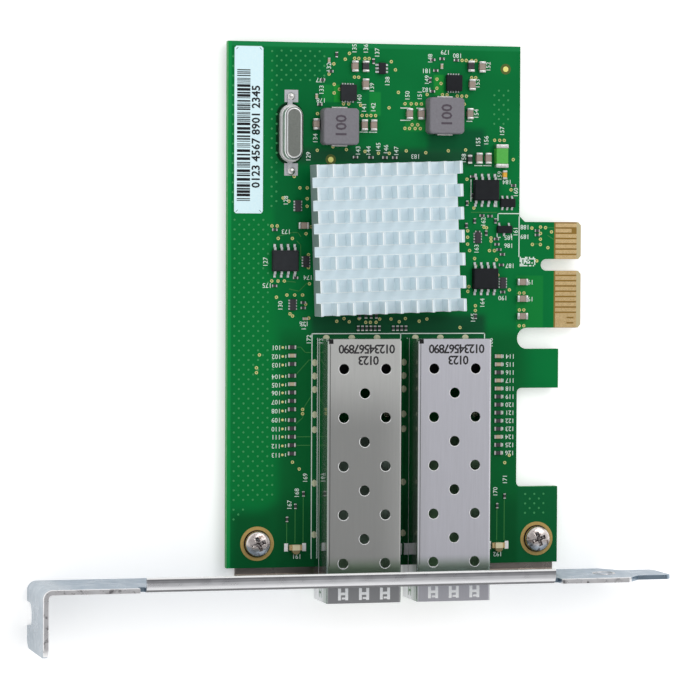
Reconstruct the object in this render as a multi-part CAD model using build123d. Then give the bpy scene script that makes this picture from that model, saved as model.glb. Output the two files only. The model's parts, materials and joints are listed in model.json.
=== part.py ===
from build123d import *
import os

# A two-port optical network card on a full-height bracket, in millimetres.
# X runs from the board's free edge towards the edge contacts, Y from the bracket's
# outer face along the board, and Z out of the component side.
# Z = 0 is the component side, Y = 0 the bracket's outer face, X = 0 the board's free edge.

# Circuit board
board_thickness = 1.57
board_start = 2.6
board_end = 100.2
board_width = 56.5
foot_width = 64.4
contact_reach = 68.9
router_depth = 56.2
key_from_bracket = 59.05
key_width = 2.2
key_bottom = 60.8
tab_relief_width = 4.0
tab_relief_radius = 1.95
rib_width = 7.4
foot_end = 17.0
router_radius = 0.9
tab_corner = 0.6
tab_shoulder = 1.1
bevel_length = 1.0
bevel_depth = 0.35

# Edge contacts
contact_pitch = 1.0
contact_width = 0.7
contact_first_from_key = 1.5
near_contacts = 11
far_contacts = 7
contact_length = 4.2
edge_capacitor_setback = 6.7
contact_plating = 0.05
tab_margin = 0.42
far_tab_margin = 0.62
sense_setback = 1.0
power_contacts = 3
power_slit_length = 1.4
power_slit_width = 0.3
power_slit_from_end = 0.5

# Bracket sheet
sheet = 0.86
bend_inner = 0.8
flange_root = 0.4
bracket_length = 120.02
bracket_width = 18.42
bracket_below_board = 1.25
bracket_tab_offset = 36.8
tab_length = 11.43
tab_corner_radius = 2.0
notch_width = 4.42
notch_from_face = 5.08
notch_depth = 5.05
tongue_width = 10.19
tongue_length = 6.5
tongue_taper = 3.2
tongue_corner = 0.7
lip_height = 2.75
lip_start = -18.1
lip_end = 59.1
relief_width = 1.2
relief_depth = 2.6
ear_reach = 12.4
ear_bend_inner = 0.5
left_ear_start = 2.0
left_ear_end = 17.4
right_ear_start = 50.2
right_ear_end = 64.0
ear_corner = 2.5
ear_taper = 6.0
port_clearance = 0.25
light_hole_radius = 1.5
light_hole_height = 1.3

# Bracket screws
screw_radius = 1.25
screw_clearance = 0.1
thread_depth = 0.05
screw_head_radius = 2.4
screw_head_height = 1.6
screw_head_slope = 0.7
screw_from_bracket = 7.1
left_screw_x = 5.8
right_screw_x = 60.3
screw_below_ear = 0.4
recess_width = 0.75
recess_span = 2.7
recess_depth = 1.0
ring_radius = 3.2
ring_thickness = 0.05
ring_hole_radius = 1.5

# Port cages
cage_width = 14.2
cage_height = 9.74
cage_sheet = 0.25
cage_front = -3.35
cage_length = 48.7
left_cage_x = 16.7
cage_pitch = 17.25
cage_bend = 0.45
vent_radius = 0.97
vent_sides = 12
vent_row_pitch = 4.48
vent_rows = 9
vent_first_from_rear = 5.5
vent_half_span = 4.0
corner_relief_radius = 0.45
corner_relief_depth = 1.2
spring_width = 1.0
spring_length = 1.9
spring_slit = 0.38
spring_pitch = 4.0
spring_from_front = 0.75
pin_width = 0.6
pin_tail = 0.5
pin_hole_radius = 0.53
pin_hole_sides = 8
pin_positions = [38.2, 31.0, 18.2, 8.6]
rear_pin_pitch = 4.9
floor_length = 33.0
latch_hole_width = 4.2
latch_hole_length = 2.6
latch_hole_from_front = 3.0

# Port receptacles
receptacle_width = 11.4
receptacle_depth = 6.4
receptacle_height = 6.0
receptacle_from_rear = 2.4
slot_width = 9.4
slot_height = 1.7
slot_middle = 3.1
lead_in = 1.0
receptacle_pitch = 0.8
receptacle_contacts = 10
receptacle_strip = 0.3
receptacle_gauge = 0.2

# Heat sink, pad and controller
chip_width = 25.0
chip_height = 2.1
chip_lid_width = 21.0
chip_substrate = 0.8
pad_thickness = 0.3
sink_width = 28.0
sink_base = 1.3
sink_height = 5.1
sink_x = 29.5
sink_y = 63.9
sink_turn = 2.1
fin_columns = 10
fin_thickness = 0.55
fin_rows = 7
fin_row_length = 2.36

# Crystal
crystal_x = 11.7
crystal_y = 83.25
crystal_length = 10.75
crystal_width = 4.3
can_wall_step = 0.4
can_height = 3.0
can_flange = 0.45
crystal_base_height = 0.7
crystal_lead_width = 0.9
crystal_lead_gauge = 0.35
crystal_lead_reach = 7.4

# Power chokes
choke_width = 6.8
choke_height = 3.0
choke_bevel = 0.45
choke_terminal_width = 3.0
choke_terminal_gauge = 0.2
choke_terminal_rise = 1.4
choke_terminal_reach = 0.25
left_choke = (20.9, 84.6)
right_choke = (41.3, 86.9)

# Small outline chips with four leads a side
so_length = 4.9
so_width = 3.9
so_height = 1.5
so_standoff = 0.12
so_bevel = 0.25
so_lead_pitch = 1.27
so_lead_width = 0.42
so_lead_gauge = 0.2
so_lead_span = 6.2
so_lead_foot = 0.65
so_lead_rise = 0.7
so_leads_a_side = 4
so_places = {
    "memory_chip": (10.8, 59.65),
    "upper_regulator": (49.65, 73.05),
    "lower_regulator": (49.6, 56.4),
}

# Leadless switching regulators
switcher_width = 3.0
switcher_height = 0.9
switcher_pads = 5
switcher_pad_pitch = 0.5
switcher_pad_width = 0.26
switcher_pad_reach = 0.3
switcher_pad_thickness = 0.15
switcher_places = [(22.8, 90.95), (43.3, 93.1)]

# Small transistors
transistor_standoff = 0.1
transistor_height = 1.0
transistor_lead_width = 0.35
transistor_lead_gauge = 0.18
transistor_lead_foot = 0.55
transistor_lead_rise = 0.5
side_leg_run = 0.15

# Tall green chip part
tall_part = (52.5, 79.5)
tall_width = 2.4
tall_length = 4.4
tall_height = 1.9
tall_cap = 0.75

# Chip parts: length, width, height and end cap length
large_chip = (2.1, 1.25, 1.0, 0.45)
medium_chip = (1.7, 0.85, 0.8, 0.4)
small_chip = (1.5, 0.75, 0.45, 0.3)
tiny_chip = (1.0, 0.5, 0.35, 0.22)
cap_wrap = 0.04

# Resistor arrays: four elements in one body, on terminals that show at both long sides
array_length = 2.1
array_width = 1.1
array_height = 0.5
array_terminals = 4
array_pitch = 0.52
array_terminal_width = 0.32
array_terminal_reach = 1.6
array_terminal_height = 0.14
array_places = [(13.3, 69.85), (14.9, 59.5), (12.4, 51.5), (48.25, 64.1), (53.25, 55.6)]

# Yellow chip part by the upper regulator
yellow_part = (53.4, 76.0)

# Status lights
light_width = 2.4
light_depth = 1.0
light_height = 1.1
light_dome_radius = 0.75
light_end = 0.5
light_end_height = 0.77
left_light = (13.05, 6.3)
right_light = (52.6, 6.0)

# Paper label
label_x = 3.9
label_y = 83.85
label_width = 5.45
label_length = 30.9
label_thickness = 0.1
label_corner = 0.35

bracket_z_low = -board_thickness - bracket_below_board
bracket_z_high = bracket_z_low + bracket_width
tab_face_x = -bracket_tab_offset
tongue_tip_x = tab_face_x + bracket_length
contact_start = contact_reach - bevel_length - contact_length
edge_capacitor_x = contact_start - edge_capacitor_setback
key_low = key_from_bracket - key_width / 2
key_high = key_from_bracket + key_width / 2
near_tab_low = key_from_bracket - contact_first_from_key - (near_contacts - 1) * contact_pitch - tab_margin
far_tab_high = key_from_bracket + contact_first_from_key + (far_contacts - 1) * contact_pitch + far_tab_margin
rib_high = near_tab_low - tab_relief_width
rib_low = rib_high - rib_width
cage_rear = cage_front + cage_length
cage_lefts = [left_cage_x, left_cage_x + cage_pitch]
fin_pitch = (sink_width - fin_thickness) / (fin_columns - 1)
fin_row_pitch = (sink_width - fin_row_length) / (fin_rows - 1)
sink_seat = chip_height + pad_thickness
receptacle_rear = cage_rear - receptacle_from_rear


def block(x0, y0, z0, x1, y1, z1):
    return Pos(x0, y0, z0) * Box(x1 - x0, y1 - y0, z1 - z0, align=(Align.MIN, Align.MIN, Align.MIN))


def plate(x, y, length, width, z, height):
    return Pos(x, y, z) * Box(length, width, height, align=(Align.CENTER, Align.CENTER, Align.MIN))


def upright(x, y, z, radius, height):
    return Pos(x, y, z) * Cylinder(radius, height, align=(Align.CENTER, Align.CENTER, Align.MIN))


def small_hole(x, y, z, radius, sides, height):
    """Cutter for a tiny near-round hole, with few flats because it repeats often."""
    return extrude(Pos(x, y, z) * RegularPolygon(radius, sides), amount=height)


def patch(x0, y0, x1, y1):
    return Pos(x0, y0) * Rectangle(x1 - x0, y1 - y0, align=(Align.MIN, Align.MIN))


def corners(sketch, *places):
    return [sketch.vertices().sort_by_distance((x, y, 0))[0] for x, y in places]


def along_x(outline, x0, x1):
    """A profile drawn in Y and Z, run from x0 to x1."""
    return extrude(Plane.YZ.offset(x0) * outline, amount=x1 - x0)


def outline_of(*points):
    return make_face(Polyline(*points, close=True))


def group(pieces):
    return Compound(children=list(pieces))


def contact_places():
    """Y of each contact, from the bracket outwards."""
    near = [key_from_bracket - contact_first_from_key - i * contact_pitch for i in range(near_contacts)]
    far = [key_from_bracket + contact_first_from_key + i * contact_pitch for i in range(far_contacts)]
    return near[::-1] + far


def pin_places():
    """Centre of each cage pin, on the walls' middle planes."""
    places = []
    for left in cage_lefts:
        for y in pin_positions:
            places.append((left + cage_sheet / 2, y))
            places.append((left + cage_width - cage_sheet / 2, y))
        for step in (-1, 0, 1):
            places.append((left + cage_width / 2 + step * rear_pin_pitch, cage_rear - cage_sheet / 2))
    return places


def board_outline():
    face = patch(0, board_start, board_width, board_end)
    face += patch(0, board_start, foot_width, foot_end)
    face += patch(0, rib_low, foot_width, rib_high)
    face += patch(0, near_tab_low, contact_reach, far_tab_high)
    face -= patch(router_depth, foot_end, foot_width, rib_low)
    face -= patch(router_depth, rib_high, foot_width, near_tab_low)
    key_radius = key_width / 2
    face -= patch(key_bottom + key_radius, key_low, contact_reach, key_high)
    face -= Pos(key_bottom + key_radius, key_from_bracket) * Circle(key_radius)
    inner = [(router_depth, foot_end), (router_depth, rib_low)]
    face = fillet(corners(face, *inner), router_radius)
    relief = [(router_depth, rib_high), (router_depth, near_tab_low)]
    face = fillet(corners(face, *relief), tab_relief_radius)
    ends = [(contact_reach, near_tab_low), (contact_reach, key_low)]
    ends += [(contact_reach, key_high), (contact_reach, far_tab_high)]
    face = chamfer(corners(face, *ends), tab_corner)
    return chamfer(corners(face, (board_width, far_tab_high)), tab_shoulder)


def circuit_board():
    board = extrude(board_outline(), amount=-board_thickness)
    bevel = outline_of(
        (contact_reach - bevel_length, 0), (contact_reach, 0), (contact_reach, -bevel_depth)
    )
    top_bevel = extrude(Plane.XZ.offset(-far_tab_high) * bevel, amount=far_tab_high - near_tab_low)
    board -= top_bevel
    board -= top_bevel.mirror(Plane.XY.offset(-board_thickness / 2))
    for x in (left_screw_x, right_screw_x):
        hole = screw_radius + screw_clearance
        board -= upright(x, screw_from_bracket, -board_thickness, hole, board_thickness)
    for x, y in pin_places():
        board -= small_hole(x, y, -board_thickness, pin_hole_radius, pin_hole_sides, board_thickness)
    return board


def contact_strip(y, x_end, z):
    half = contact_width / 2
    return block(contact_start, y - half, z, x_end, y + half, z + contact_plating)


def power_strip(places):
    """The three joined supply contacts, parted only by two short slits."""
    half = contact_width / 2
    end = contact_reach - bevel_length
    strip = block(contact_start, places[0] - half, 0, end, places[-1] + half, contact_plating)
    slit_end = end - power_slit_from_end
    for y in places[:-1]:
        middle = y + contact_pitch / 2
        low = middle - power_slit_width / 2
        high = middle + power_slit_width / 2
        strip -= block(slit_end - power_slit_length, low, 0, slit_end, high, contact_plating)
    return strip


def edge_contacts():
    places = contact_places()
    full = contact_reach - bevel_length
    pieces = [power_strip(places[:power_contacts])]
    for y in places[power_contacts:]:
        short = y == places[-2]
        pieces.append(contact_strip(y, full - sense_setback * short, 0))
    for y in places:
        short = y == places[0]
        pieces.append(contact_strip(y, full - sense_setback * short, -board_thickness - contact_plating))
    return group(pieces)


def flange(edge, inward, reach, inner_radius, x0, x1):
    """A strip of sheet bent from the bracket's edge towards the board."""
    root = edge + inward * (inner_radius + sheet + flange_root)
    section = outline_of(
        (0, root),
        (0, edge),
        (reach, edge),
        (reach, edge + inward * sheet),
        (sheet, edge + inward * sheet),
        (sheet, root),
    )
    section = fillet(corners(section, (0, edge)), inner_radius + sheet)
    section = fillet(corners(section, (sheet, edge + inward * sheet)), inner_radius)
    return along_x(section, x0, x1)


def ear(x0, x1, screw_x):
    top = -board_thickness
    piece = flange(top - sheet, 1, ear_reach, ear_bend_inner, x0, x1)
    ends = piece.edges().filter_by(Axis.Z).group_by(Axis.Y)[-1].sort_by(Axis.X)
    toward_ports = ends[-1] if screw_x < (left_screw_x + right_screw_x) / 2 else ends[0]
    away = ends[0] if toward_ports == ends[-1] else ends[-1]
    piece = chamfer(toward_ports, ear_taper)
    piece = fillet(piece.edges().filter_by(Axis.Z).sort_by_distance(away.center())[0], ear_corner)
    hole = screw_radius - thread_depth
    return piece - upright(screw_x, screw_from_bracket, top - sheet, hole, sheet)


def tongue_waste():
    """What is trimmed from the strip to leave the narrow tongue, in X and Z."""
    step = (bracket_width - tongue_width) / 2
    root = tongue_tip_x - tongue_length - tongue_taper
    neck = tongue_tip_x - tongue_length
    pieces = []
    for edge, inward in ((bracket_z_low, 1), (bracket_z_high, -1)):
        pieces.append(
            outline_of(
                (root, edge),
                (neck, edge + inward * step),
                (tongue_tip_x - tongue_corner, edge + inward * step),
                (tongue_tip_x, edge + inward * (step + tongue_corner)),
                (tongue_tip_x, edge),
            )
        )
    return [extrude(Plane.XZ * piece, amount=-sheet) for piece in pieces]


def bracket_strip():
    """Tab and long strip, bent from one sheet."""
    outer = bend_inner + sheet
    section = outline_of(
        (tab_face_x, -tab_length),
        (tab_face_x, sheet),
        (tongue_tip_x, sheet),
        (tongue_tip_x, 0),
        (tab_face_x + sheet, 0),
        (tab_face_x + sheet, -tab_length),
    )
    section = fillet(corners(section, (tab_face_x, sheet)), outer)
    section = fillet(corners(section, (tab_face_x + sheet, 0)), bend_inner)
    return extrude(Plane.XY.offset(bracket_z_low) * section, amount=bracket_width)


def screw_notch():
    """Open slot in the tab for the case screw."""
    radius = notch_width / 2
    bottom = bracket_z_low + notch_depth
    low = -notch_from_face - radius
    high = -notch_from_face + radius
    slot = block(tab_face_x, low, bracket_z_low, tab_face_x + sheet, high, bottom - radius)
    round_end = Pos(tab_face_x, -notch_from_face, bottom - radius) * Rot(0, 90, 0) * Cylinder(
        radius, sheet, align=(Align.CENTER, Align.CENTER, Align.MIN)
    )
    return [slot, round_end]


def mounting_bracket():
    bracket = bracket_strip()
    bracket -= tongue_waste()
    bracket -= screw_notch()
    corner = bracket.edges().filter_by(Axis.X).group_by(Axis.Y)[0]
    bracket = fillet(corner, tab_corner_radius)
    lip_root = bracket_z_high - bend_inner - sheet
    bracket -= block(lip_start, 0, lip_root, lip_end, sheet, bracket_z_high)
    bracket += flange(bracket_z_high, -1, lip_height, bend_inner, lip_start, lip_end)
    for x in (lip_start - relief_width, lip_end):
        bracket -= block(x, 0, bracket_z_high - relief_depth, x + relief_width, sheet, bracket_z_high)
    ears = ((left_ear_start, left_ear_end, left_screw_x), (right_ear_start, right_ear_end, right_screw_x))
    ear_root = -board_thickness + ear_bend_inner
    for x0, x1, screw_x in ears:
        bracket -= block(x0 - relief_width, 0, bracket_z_low, x1 + relief_width, sheet, ear_root)
        bracket += ear(x0, x1, screw_x)
    for left in cage_lefts:
        bracket -= block(
            left - port_clearance,
            0,
            -port_clearance,
            left + cage_width + port_clearance,
            sheet,
            cage_height + port_clearance,
        )
    for x in (left_light[0], right_light[0]):
        bracket -= Pos(x, 0, light_hole_height) * Rot(-90, 0, 0) * Cylinder(
            light_hole_radius, sheet, align=(Align.CENTER, Align.CENTER, Align.MIN)
        )
    return bracket


def bracket_screw(x):
    """Pan head screw with a cross recess."""
    shank_low = -board_thickness - sheet - screw_below_ear
    seat = ring_thickness
    screw = upright(x, screw_from_bracket, shank_low, screw_radius - thread_depth, seat - shank_low)
    head = upright(x, screw_from_bracket, seat, screw_head_radius, screw_head_height)
    head = chamfer(head.edges().group_by(Axis.Z)[-1], screw_head_slope, screw_head_slope)
    top = seat + screw_head_height
    head -= plate(x, screw_from_bracket, recess_span, recess_width, top - recess_depth, recess_depth)
    head -= plate(x, screw_from_bracket, recess_width, recess_span, top - recess_depth, recess_depth)
    return screw + head


def ground_ring(x):
    ring = upright(x, screw_from_bracket, 0, ring_radius, ring_thickness)
    return ring - small_hole(x, screw_from_bracket, 0, ring_hole_radius, pin_hole_sides, ring_thickness)


def vent_places(left):
    """Staggered vents: pairs and single holes in turn, from the rear forwards."""
    middle = left + cage_width / 2
    places = []
    for row in range(vent_rows):
        y = cage_rear - vent_first_from_rear - row * vent_row_pitch
        across = (0,) if row % 2 else (-vent_half_span, vent_half_span)
        places += [(middle + x, y) for x in across]
    return places


def spring_cut():
    """One H-shaped cut that frees two facing spring leaves, drawn about its centre."""
    half = spring_width / 2 + spring_slit / 2
    cut = Pos(-half, 0) * Rectangle(spring_slit, spring_length)
    cut += Pos(half, 0) * Rectangle(spring_slit, spring_length)
    return cut + Rectangle(spring_width, spring_slit)


def cage_springs(left):
    y = cage_front + spring_from_front + spring_length / 2
    middle = left + cage_width / 2
    cuts = []
    for step in (-1, 0, 1):
        place = Plane.XY.offset(cage_height - cage_sheet) * Pos(middle + step * spring_pitch, y)
        cuts.append(extrude(place * spring_cut(), amount=cage_sheet))
    side = Plane((left, y, cage_height / 2), x_dir=(0, 0, 1), z_dir=(1, 0, 0))
    cuts.append(extrude(side * spring_cut(), amount=cage_width))
    return cuts


def cage_cover(left):
    """Folded cover: top, two side walls and rear wall, with pins into the board."""
    right = left + cage_width
    cover = block(left, cage_front, 0, right, cage_rear, cage_height)
    top_edges = cover.edges().filter_by(Axis.Y).group_by(Axis.Z)[-1]
    cover = fillet(top_edges, cage_bend)
    hollow = block(
        left + cage_sheet, cage_front, 0, right - cage_sheet, cage_rear - cage_sheet, cage_height - cage_sheet
    )
    hollow_edges = hollow.edges().filter_by(Axis.Y).group_by(Axis.Z)[-1]
    cover -= fillet(hollow_edges, cage_bend - cage_sheet)
    inner_top = cage_height - cage_sheet
    for x, y in vent_places(left):
        cover -= small_hole(x, y, inner_top, vent_radius, vent_sides, cage_sheet)
    relief_low = cage_height - corner_relief_depth
    for x in (left, right):
        cover -= small_hole(x, cage_rear, relief_low, corner_relief_radius, pin_hole_sides, corner_relief_depth)
    cover -= cage_springs(left)
    tail = board_thickness + pin_tail
    for x, y in pin_places():
        if left < x < right:
            across = y > cage_rear - cage_sheet
            size = (pin_width, cage_sheet) if across else (cage_sheet, pin_width)
            cover += plate(x, y, *size, -tail, tail)
    return cover


def cage_floor(left):
    """Bottom sheet between the side walls, with the latch opening near the mouth."""
    x0 = left + cage_sheet
    x1 = left + cage_width - cage_sheet
    floor = block(x0, cage_front, 0, x1, cage_front + floor_length, cage_sheet)
    hole_y = cage_front + latch_hole_from_front
    middle = left + cage_width / 2
    triangle = outline_of(
        (middle - latch_hole_width / 2, hole_y + latch_hole_length),
        (middle + latch_hole_width / 2, hole_y + latch_hole_length),
        (middle, hole_y),
    )
    return floor - extrude(triangle, amount=cage_sheet)


def receptacle(left):
    """Moulded socket that takes the module's edge."""
    middle = left + cage_width / 2
    front = receptacle_rear - receptacle_depth
    body = block(
        middle - receptacle_width / 2,
        front,
        0,
        middle + receptacle_width / 2,
        receptacle_rear,
        receptacle_height,
    )
    low = slot_middle - slot_height / 2
    high = slot_middle + slot_height / 2
    section = outline_of(
        (front, low - lead_in / 2),
        (front + lead_in, low),
        (receptacle_rear, low),
        (receptacle_rear, high),
        (front + lead_in, high),
        (front, high + lead_in / 2),
    )
    return body - along_x(section, middle - slot_width / 2, middle + slot_width / 2)


def receptacle_strips(left):
    """Contacts on the slot's two walls, bent down behind the socket to the board."""
    middle = left + cage_width / 2
    front = receptacle_rear - receptacle_depth + lead_in
    gauge = receptacle_gauge
    strips = []
    for row, face, inward in ((0, slot_middle + slot_height / 2, -1), (1, slot_middle - slot_height / 2, 1)):
        back = receptacle_rear + gauge * (4 - 2 * row)
        stagger = (row - 0.5) * receptacle_pitch / 2
        inner = face + inward * gauge
        top = max(face, inner)
        under = min(face, inner)
        section = outline_of(
            (front, under),
            (front, top),
            (back, top),
            (back, 0),
            (back - gauge, 0),
            (back - gauge, under),
        )
        for i in range(receptacle_contacts):
            x = middle + (i - (receptacle_contacts - 1) / 2) * receptacle_pitch + stagger
            strips.append(along_x(section, x - receptacle_strip / 2, x + receptacle_strip / 2))
    return group(strips)


def heat_sink():
    """Base plate with thin fins, sawn across into short rows."""
    half = sink_width / 2
    sink = plate(0, 0, sink_width, sink_width, 0, sink_base)
    fin_height = sink_height - sink_base
    fins = []
    for column in range(fin_columns):
        x = -half + fin_thickness / 2 + column * fin_pitch
        for row in range(fin_rows):
            y = -half + fin_row_length / 2 + row * fin_row_pitch
            fins.append(plate(x, y, fin_thickness, fin_row_length, sink_base, fin_height))
    sink += fins
    return Pos(sink_x, sink_y, sink_seat) * Rot(0, 0, sink_turn) * sink


def thermal_pad():
    return plate(sink_x, sink_y, chip_lid_width, chip_lid_width, chip_height, pad_thickness)


def controller_chip():
    chip = plate(sink_x, sink_y, chip_width, chip_width, 0, chip_substrate)
    lid_height = chip_height - chip_substrate
    return chip + plate(sink_x, sink_y, chip_lid_width, chip_lid_width, chip_substrate, lid_height)


def crystal_base():
    base = Pos(crystal_x, crystal_y) * SlotOverall(crystal_length, crystal_width, rotation=90)
    body = extrude(base, amount=crystal_base_height)
    for lead in crystal_lead_pieces():
        body -= lead
    return body


def crystal_can():
    """Drawn can with a flange at its foot and a bevelled rim."""
    foot = Pos(crystal_x, crystal_y) * SlotOverall(crystal_length, crystal_width, rotation=90)
    inset = 2 * can_wall_step
    wall = Pos(crystal_x, crystal_y) * SlotOverall(crystal_length - inset, crystal_width - inset, rotation=90)
    can = extrude(Pos(0, 0, crystal_base_height) * wall, amount=can_height)
    can = chamfer(can.edges().group_by(Axis.Z)[-1], can_wall_step)
    return can + extrude(Pos(0, 0, crystal_base_height) * foot, amount=can_flange)


def crystal_lead_pieces():
    leads = []
    for side in (-1, 1):
        y0 = crystal_y + side * crystal_length / 4
        y1 = crystal_y + side * crystal_lead_reach
        low = min(y0, y1)
        high = max(y0, y1)
        half = crystal_lead_width / 2
        leads.append(block(crystal_x - half, low, 0, crystal_x + half, high, crystal_lead_gauge))
    return leads


def choke_body(place):
    x, y = place
    body = plate(x, y, choke_width, choke_width, 0, choke_height)
    body = chamfer(body.edges().filter_by(Axis.Z), choke_bevel)
    body = chamfer(body.edges().group_by(Axis.Z)[-1], choke_bevel / 2)
    for terminal in choke_terminals(place):
        body -= terminal
    return body


def choke_terminals(place):
    """Two flat terminals that fold up the ends."""
    x, y = place
    pieces = []
    for side in (-1, 1):
        wall = side * choke_width / 2
        tip = side * (choke_width / 2 + choke_terminal_reach)
        root = side * choke_width / 4
        gauge = choke_terminal_gauge
        section = outline_of(
            (y + root, 0),
            (y + tip, 0),
            (y + tip, choke_terminal_rise),
            (y + wall, choke_terminal_rise),
            (y + wall, gauge),
            (y + root, gauge),
        )
        half = choke_terminal_width / 2
        pieces.append(along_x(section, x - half, x + half))
    return pieces


def moulded_body(x, y, length, width, standoff, height, bevel):
    """Small moulded package with tapered edges above and below its parting line."""
    body = plate(x, y, length, width, standoff, height - standoff)
    body = chamfer(body.edges().group_by(Axis.Z)[-1], bevel)
    return body


def gull_leads(x, y, half_body, half_span, gauge, foot, rise, width, offsets, side):
    """Gull-wing leads on one side of a package; side is 1 towards +Y and -1 towards -Y."""
    knee = half_span - foot
    section = outline_of(
        (y + side * half_body, rise),
        (y + side * half_body, rise - gauge),
        (y + side * (knee - gauge), rise - gauge),
        (y + side * knee, 0),
        (y + side * half_span, 0),
        (y + side * half_span, gauge),
        (y + side * (knee + gauge), gauge),
        (y + side * knee, rise),
    )
    return [along_x(section, x + across - width / 2, x + across + width / 2) for across in offsets]


def short_leads(x, y, half_body, half_span, gauge, rise, width, offsets, side):
    """Short leads that slope straight from the package's side to the board."""
    knee = half_body + side_leg_run
    section = outline_of(
        (y + side * half_body, rise),
        (y + side * half_body, rise - gauge),
        (y + side * knee, 0),
        (y + side * half_span, 0),
        (y + side * half_span, gauge),
        (y + side * (knee + gauge), gauge),
    )
    return [along_x(section, x + across - width / 2, x + across + width / 2) for across in offsets]


def row_offsets(count, pitch):
    return [(i - (count - 1) / 2) * pitch for i in range(count)]


def so_chip_body(name):
    x, y = so_places[name]
    return moulded_body(x, y, so_length, so_width, so_standoff, so_height, so_bevel)


def so_chip_leads(name):
    x, y = so_places[name]
    offsets = row_offsets(so_leads_a_side, so_lead_pitch)
    leads = []
    for side in (-1, 1):
        leads += gull_leads(
            x,
            y,
            so_width / 2,
            so_lead_span / 2,
            so_lead_gauge,
            so_lead_foot,
            so_lead_rise,
            so_lead_width,
            offsets,
            side,
        )
    return group(leads)


def switcher_body(place):
    x, y = place
    return plate(x, y, switcher_width, switcher_width, switcher_pad_thickness, switcher_height)


def switcher_feet(place):
    """Flat pads that show along two sides, under the body's edge."""
    x, y = place
    pads = []
    for side in (-1, 1):
        for across in row_offsets(switcher_pads, switcher_pad_pitch):
            pads.append(
                plate(
                    x + across,
                    y + side * switcher_width / 2,
                    switcher_pad_width,
                    2 * switcher_pad_reach,
                    0,
                    switcher_pad_thickness,
                )
            )
    return pads


# Small transistors: place, body size across leads and along them, lead offsets on each side
fine_leads = (-0.65, 0, 0.65)
wide_leads = (-0.95, 0, 0.95)
transistors = [
    {"place": (29.3, 95.6), "turned": True, "body": (2.1, 1.3), "low": fine_leads, "high": fine_leads},
    {"place": (54.0, 70.7), "turned": False, "body": (2.9, 1.6), "low": wide_leads, "high": wide_leads},
    {"place": (53.4, 65.7), "turned": False, "body": (2.9, 1.4), "low": (0,), "high": (-0.95, 0.95)},
]


def transistor_body(spec):
    length, width = spec["body"]
    body = moulded_body(0, 0, length, width, transistor_standoff, transistor_height, transistor_standoff)
    return seat_transistor(spec, body)


def transistor_leads(spec):
    length, width = spec["body"]
    leads = []
    for side, offsets in ((-1, spec["low"]), (1, spec["high"])):
        leads += short_leads(
            0,
            0,
            width / 2,
            width / 2 + transistor_lead_foot,
            transistor_lead_gauge,
            transistor_lead_rise,
            transistor_lead_width,
            offsets,
            side,
        )
    return [seat_transistor(spec, lead) for lead in leads]


def seat_transistor(spec, piece):
    x, y = spec["place"]
    return Pos(x, y, 0) * Rot(0, 0, 90 * spec["turned"]) * piece


def chip_part(kind, x, y, along_y):
    """Body and two end caps of a chip part; the caps stand a little proud all round."""
    length, width, height, cap = kind
    turn = Rot(0, 0, 90 * along_y)
    body = plate(0, 0, length - 2 * cap, width - 2 * cap_wrap, 0, height - cap_wrap)
    ends = [plate(side * (length - cap) / 2, 0, cap, width, 0, height) for side in (-1, 1)]
    return Pos(x, y, 0) * turn * body, [Pos(x, y, 0) * turn * end for end in ends]


def placed_chips(kind, places, along_y):
    bodies = []
    ends = []
    for x, y in places:
        body, caps = chip_part(kind, x, y, along_y)
        bodies.append(body)
        ends += caps
    return bodies, ends


# Ceramic capacitors that stand along Y, and three that lie along X by the edge tabs
capacitors_along_y = [
    (24.05, 95.9),
    (26.1, 92.6),
    (16.65, 85.05),
    (25.9, 85.0),
    (27.7, 85.0),
    (34.65, 87.2),
    (36.9, 87.2),
    (46.45, 87.4),
    (48.8, 96.2),
    (46.85, 92.85),
    (48.3, 79.05),
    (50.1, 79.05),
]
capacitors_along_x = [(edge_capacitor_x, y) for y in (55.8, 52.65, 49.35)] + [(14.35, 66.2)]
large_resistors = [(26.1, 95.9), (46.6, 96.3)]

# Rows of small chip parts beside the two cages
left_row_x = 12.3
left_row_starts = (43.6, 38.3, 30.05)
left_row_counts = (3, 5, 5)
left_row_pitch = 1.56
right_row_x = 52.47
right_row_start = 41.75
right_row_count = 13
right_row_pitch = 1.524
medium_capacitors = [(46.5, 78.85)]
tab_capacitors = [(60.0, 65.5), (60.0, 64.7)]
light_resistors = [(11.45, 11.55), (13.05, 13.95), (14.6, 16.25), (52.4, 13.45), (53.85, 15.25)]


def row_places():
    places = []
    for start, count in zip(left_row_starts, left_row_counts):
        places += [(left_row_x, start - i * left_row_pitch) for i in range(count)]
    places += [(right_row_x, right_row_start - i * right_row_pitch) for i in range(right_row_count)]
    return places


def array_body(place):
    x, y = place
    rise = array_height - array_terminal_height
    return plate(x, y, array_width, array_length, array_terminal_height, rise)


def array_terminal_strips(place):
    x, y = place
    offsets = row_offsets(array_terminals, array_pitch)
    size = (array_terminal_reach, array_terminal_width)
    return [plate(x, y + along, *size, 0, array_terminal_height) for along in offsets]


def tall_part_pieces():
    kind = (tall_length, tall_width, tall_height, tall_cap)
    return chip_part(kind, *tall_part, True)


def light_base(place):
    x, y = place
    half = light_width / 2 - light_end
    return block(x - half, y - light_depth / 2, 0, x + half, y + light_depth / 2, light_height)


def light_dome(place):
    """Half-round lens that looks at the bracket's hole."""
    x, y = place
    front = y - light_depth / 2
    dome = upright(x, front, 0, light_dome_radius, light_height)
    return dome - block(x - light_width, front, 0, x + light_width, front + light_depth, light_height)


def light_ends(place):
    x, y = place
    offset = (light_width - light_end) / 2
    return [plate(x + side * offset, y, light_end, light_depth, 0, light_end_height) for side in (-1, 1)]


def paper_label():
    label = plate(label_x, label_y, label_width, label_length, 0, label_thickness)
    return chamfer(label.edges().filter_by(Axis.Z), label_corner)


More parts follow.
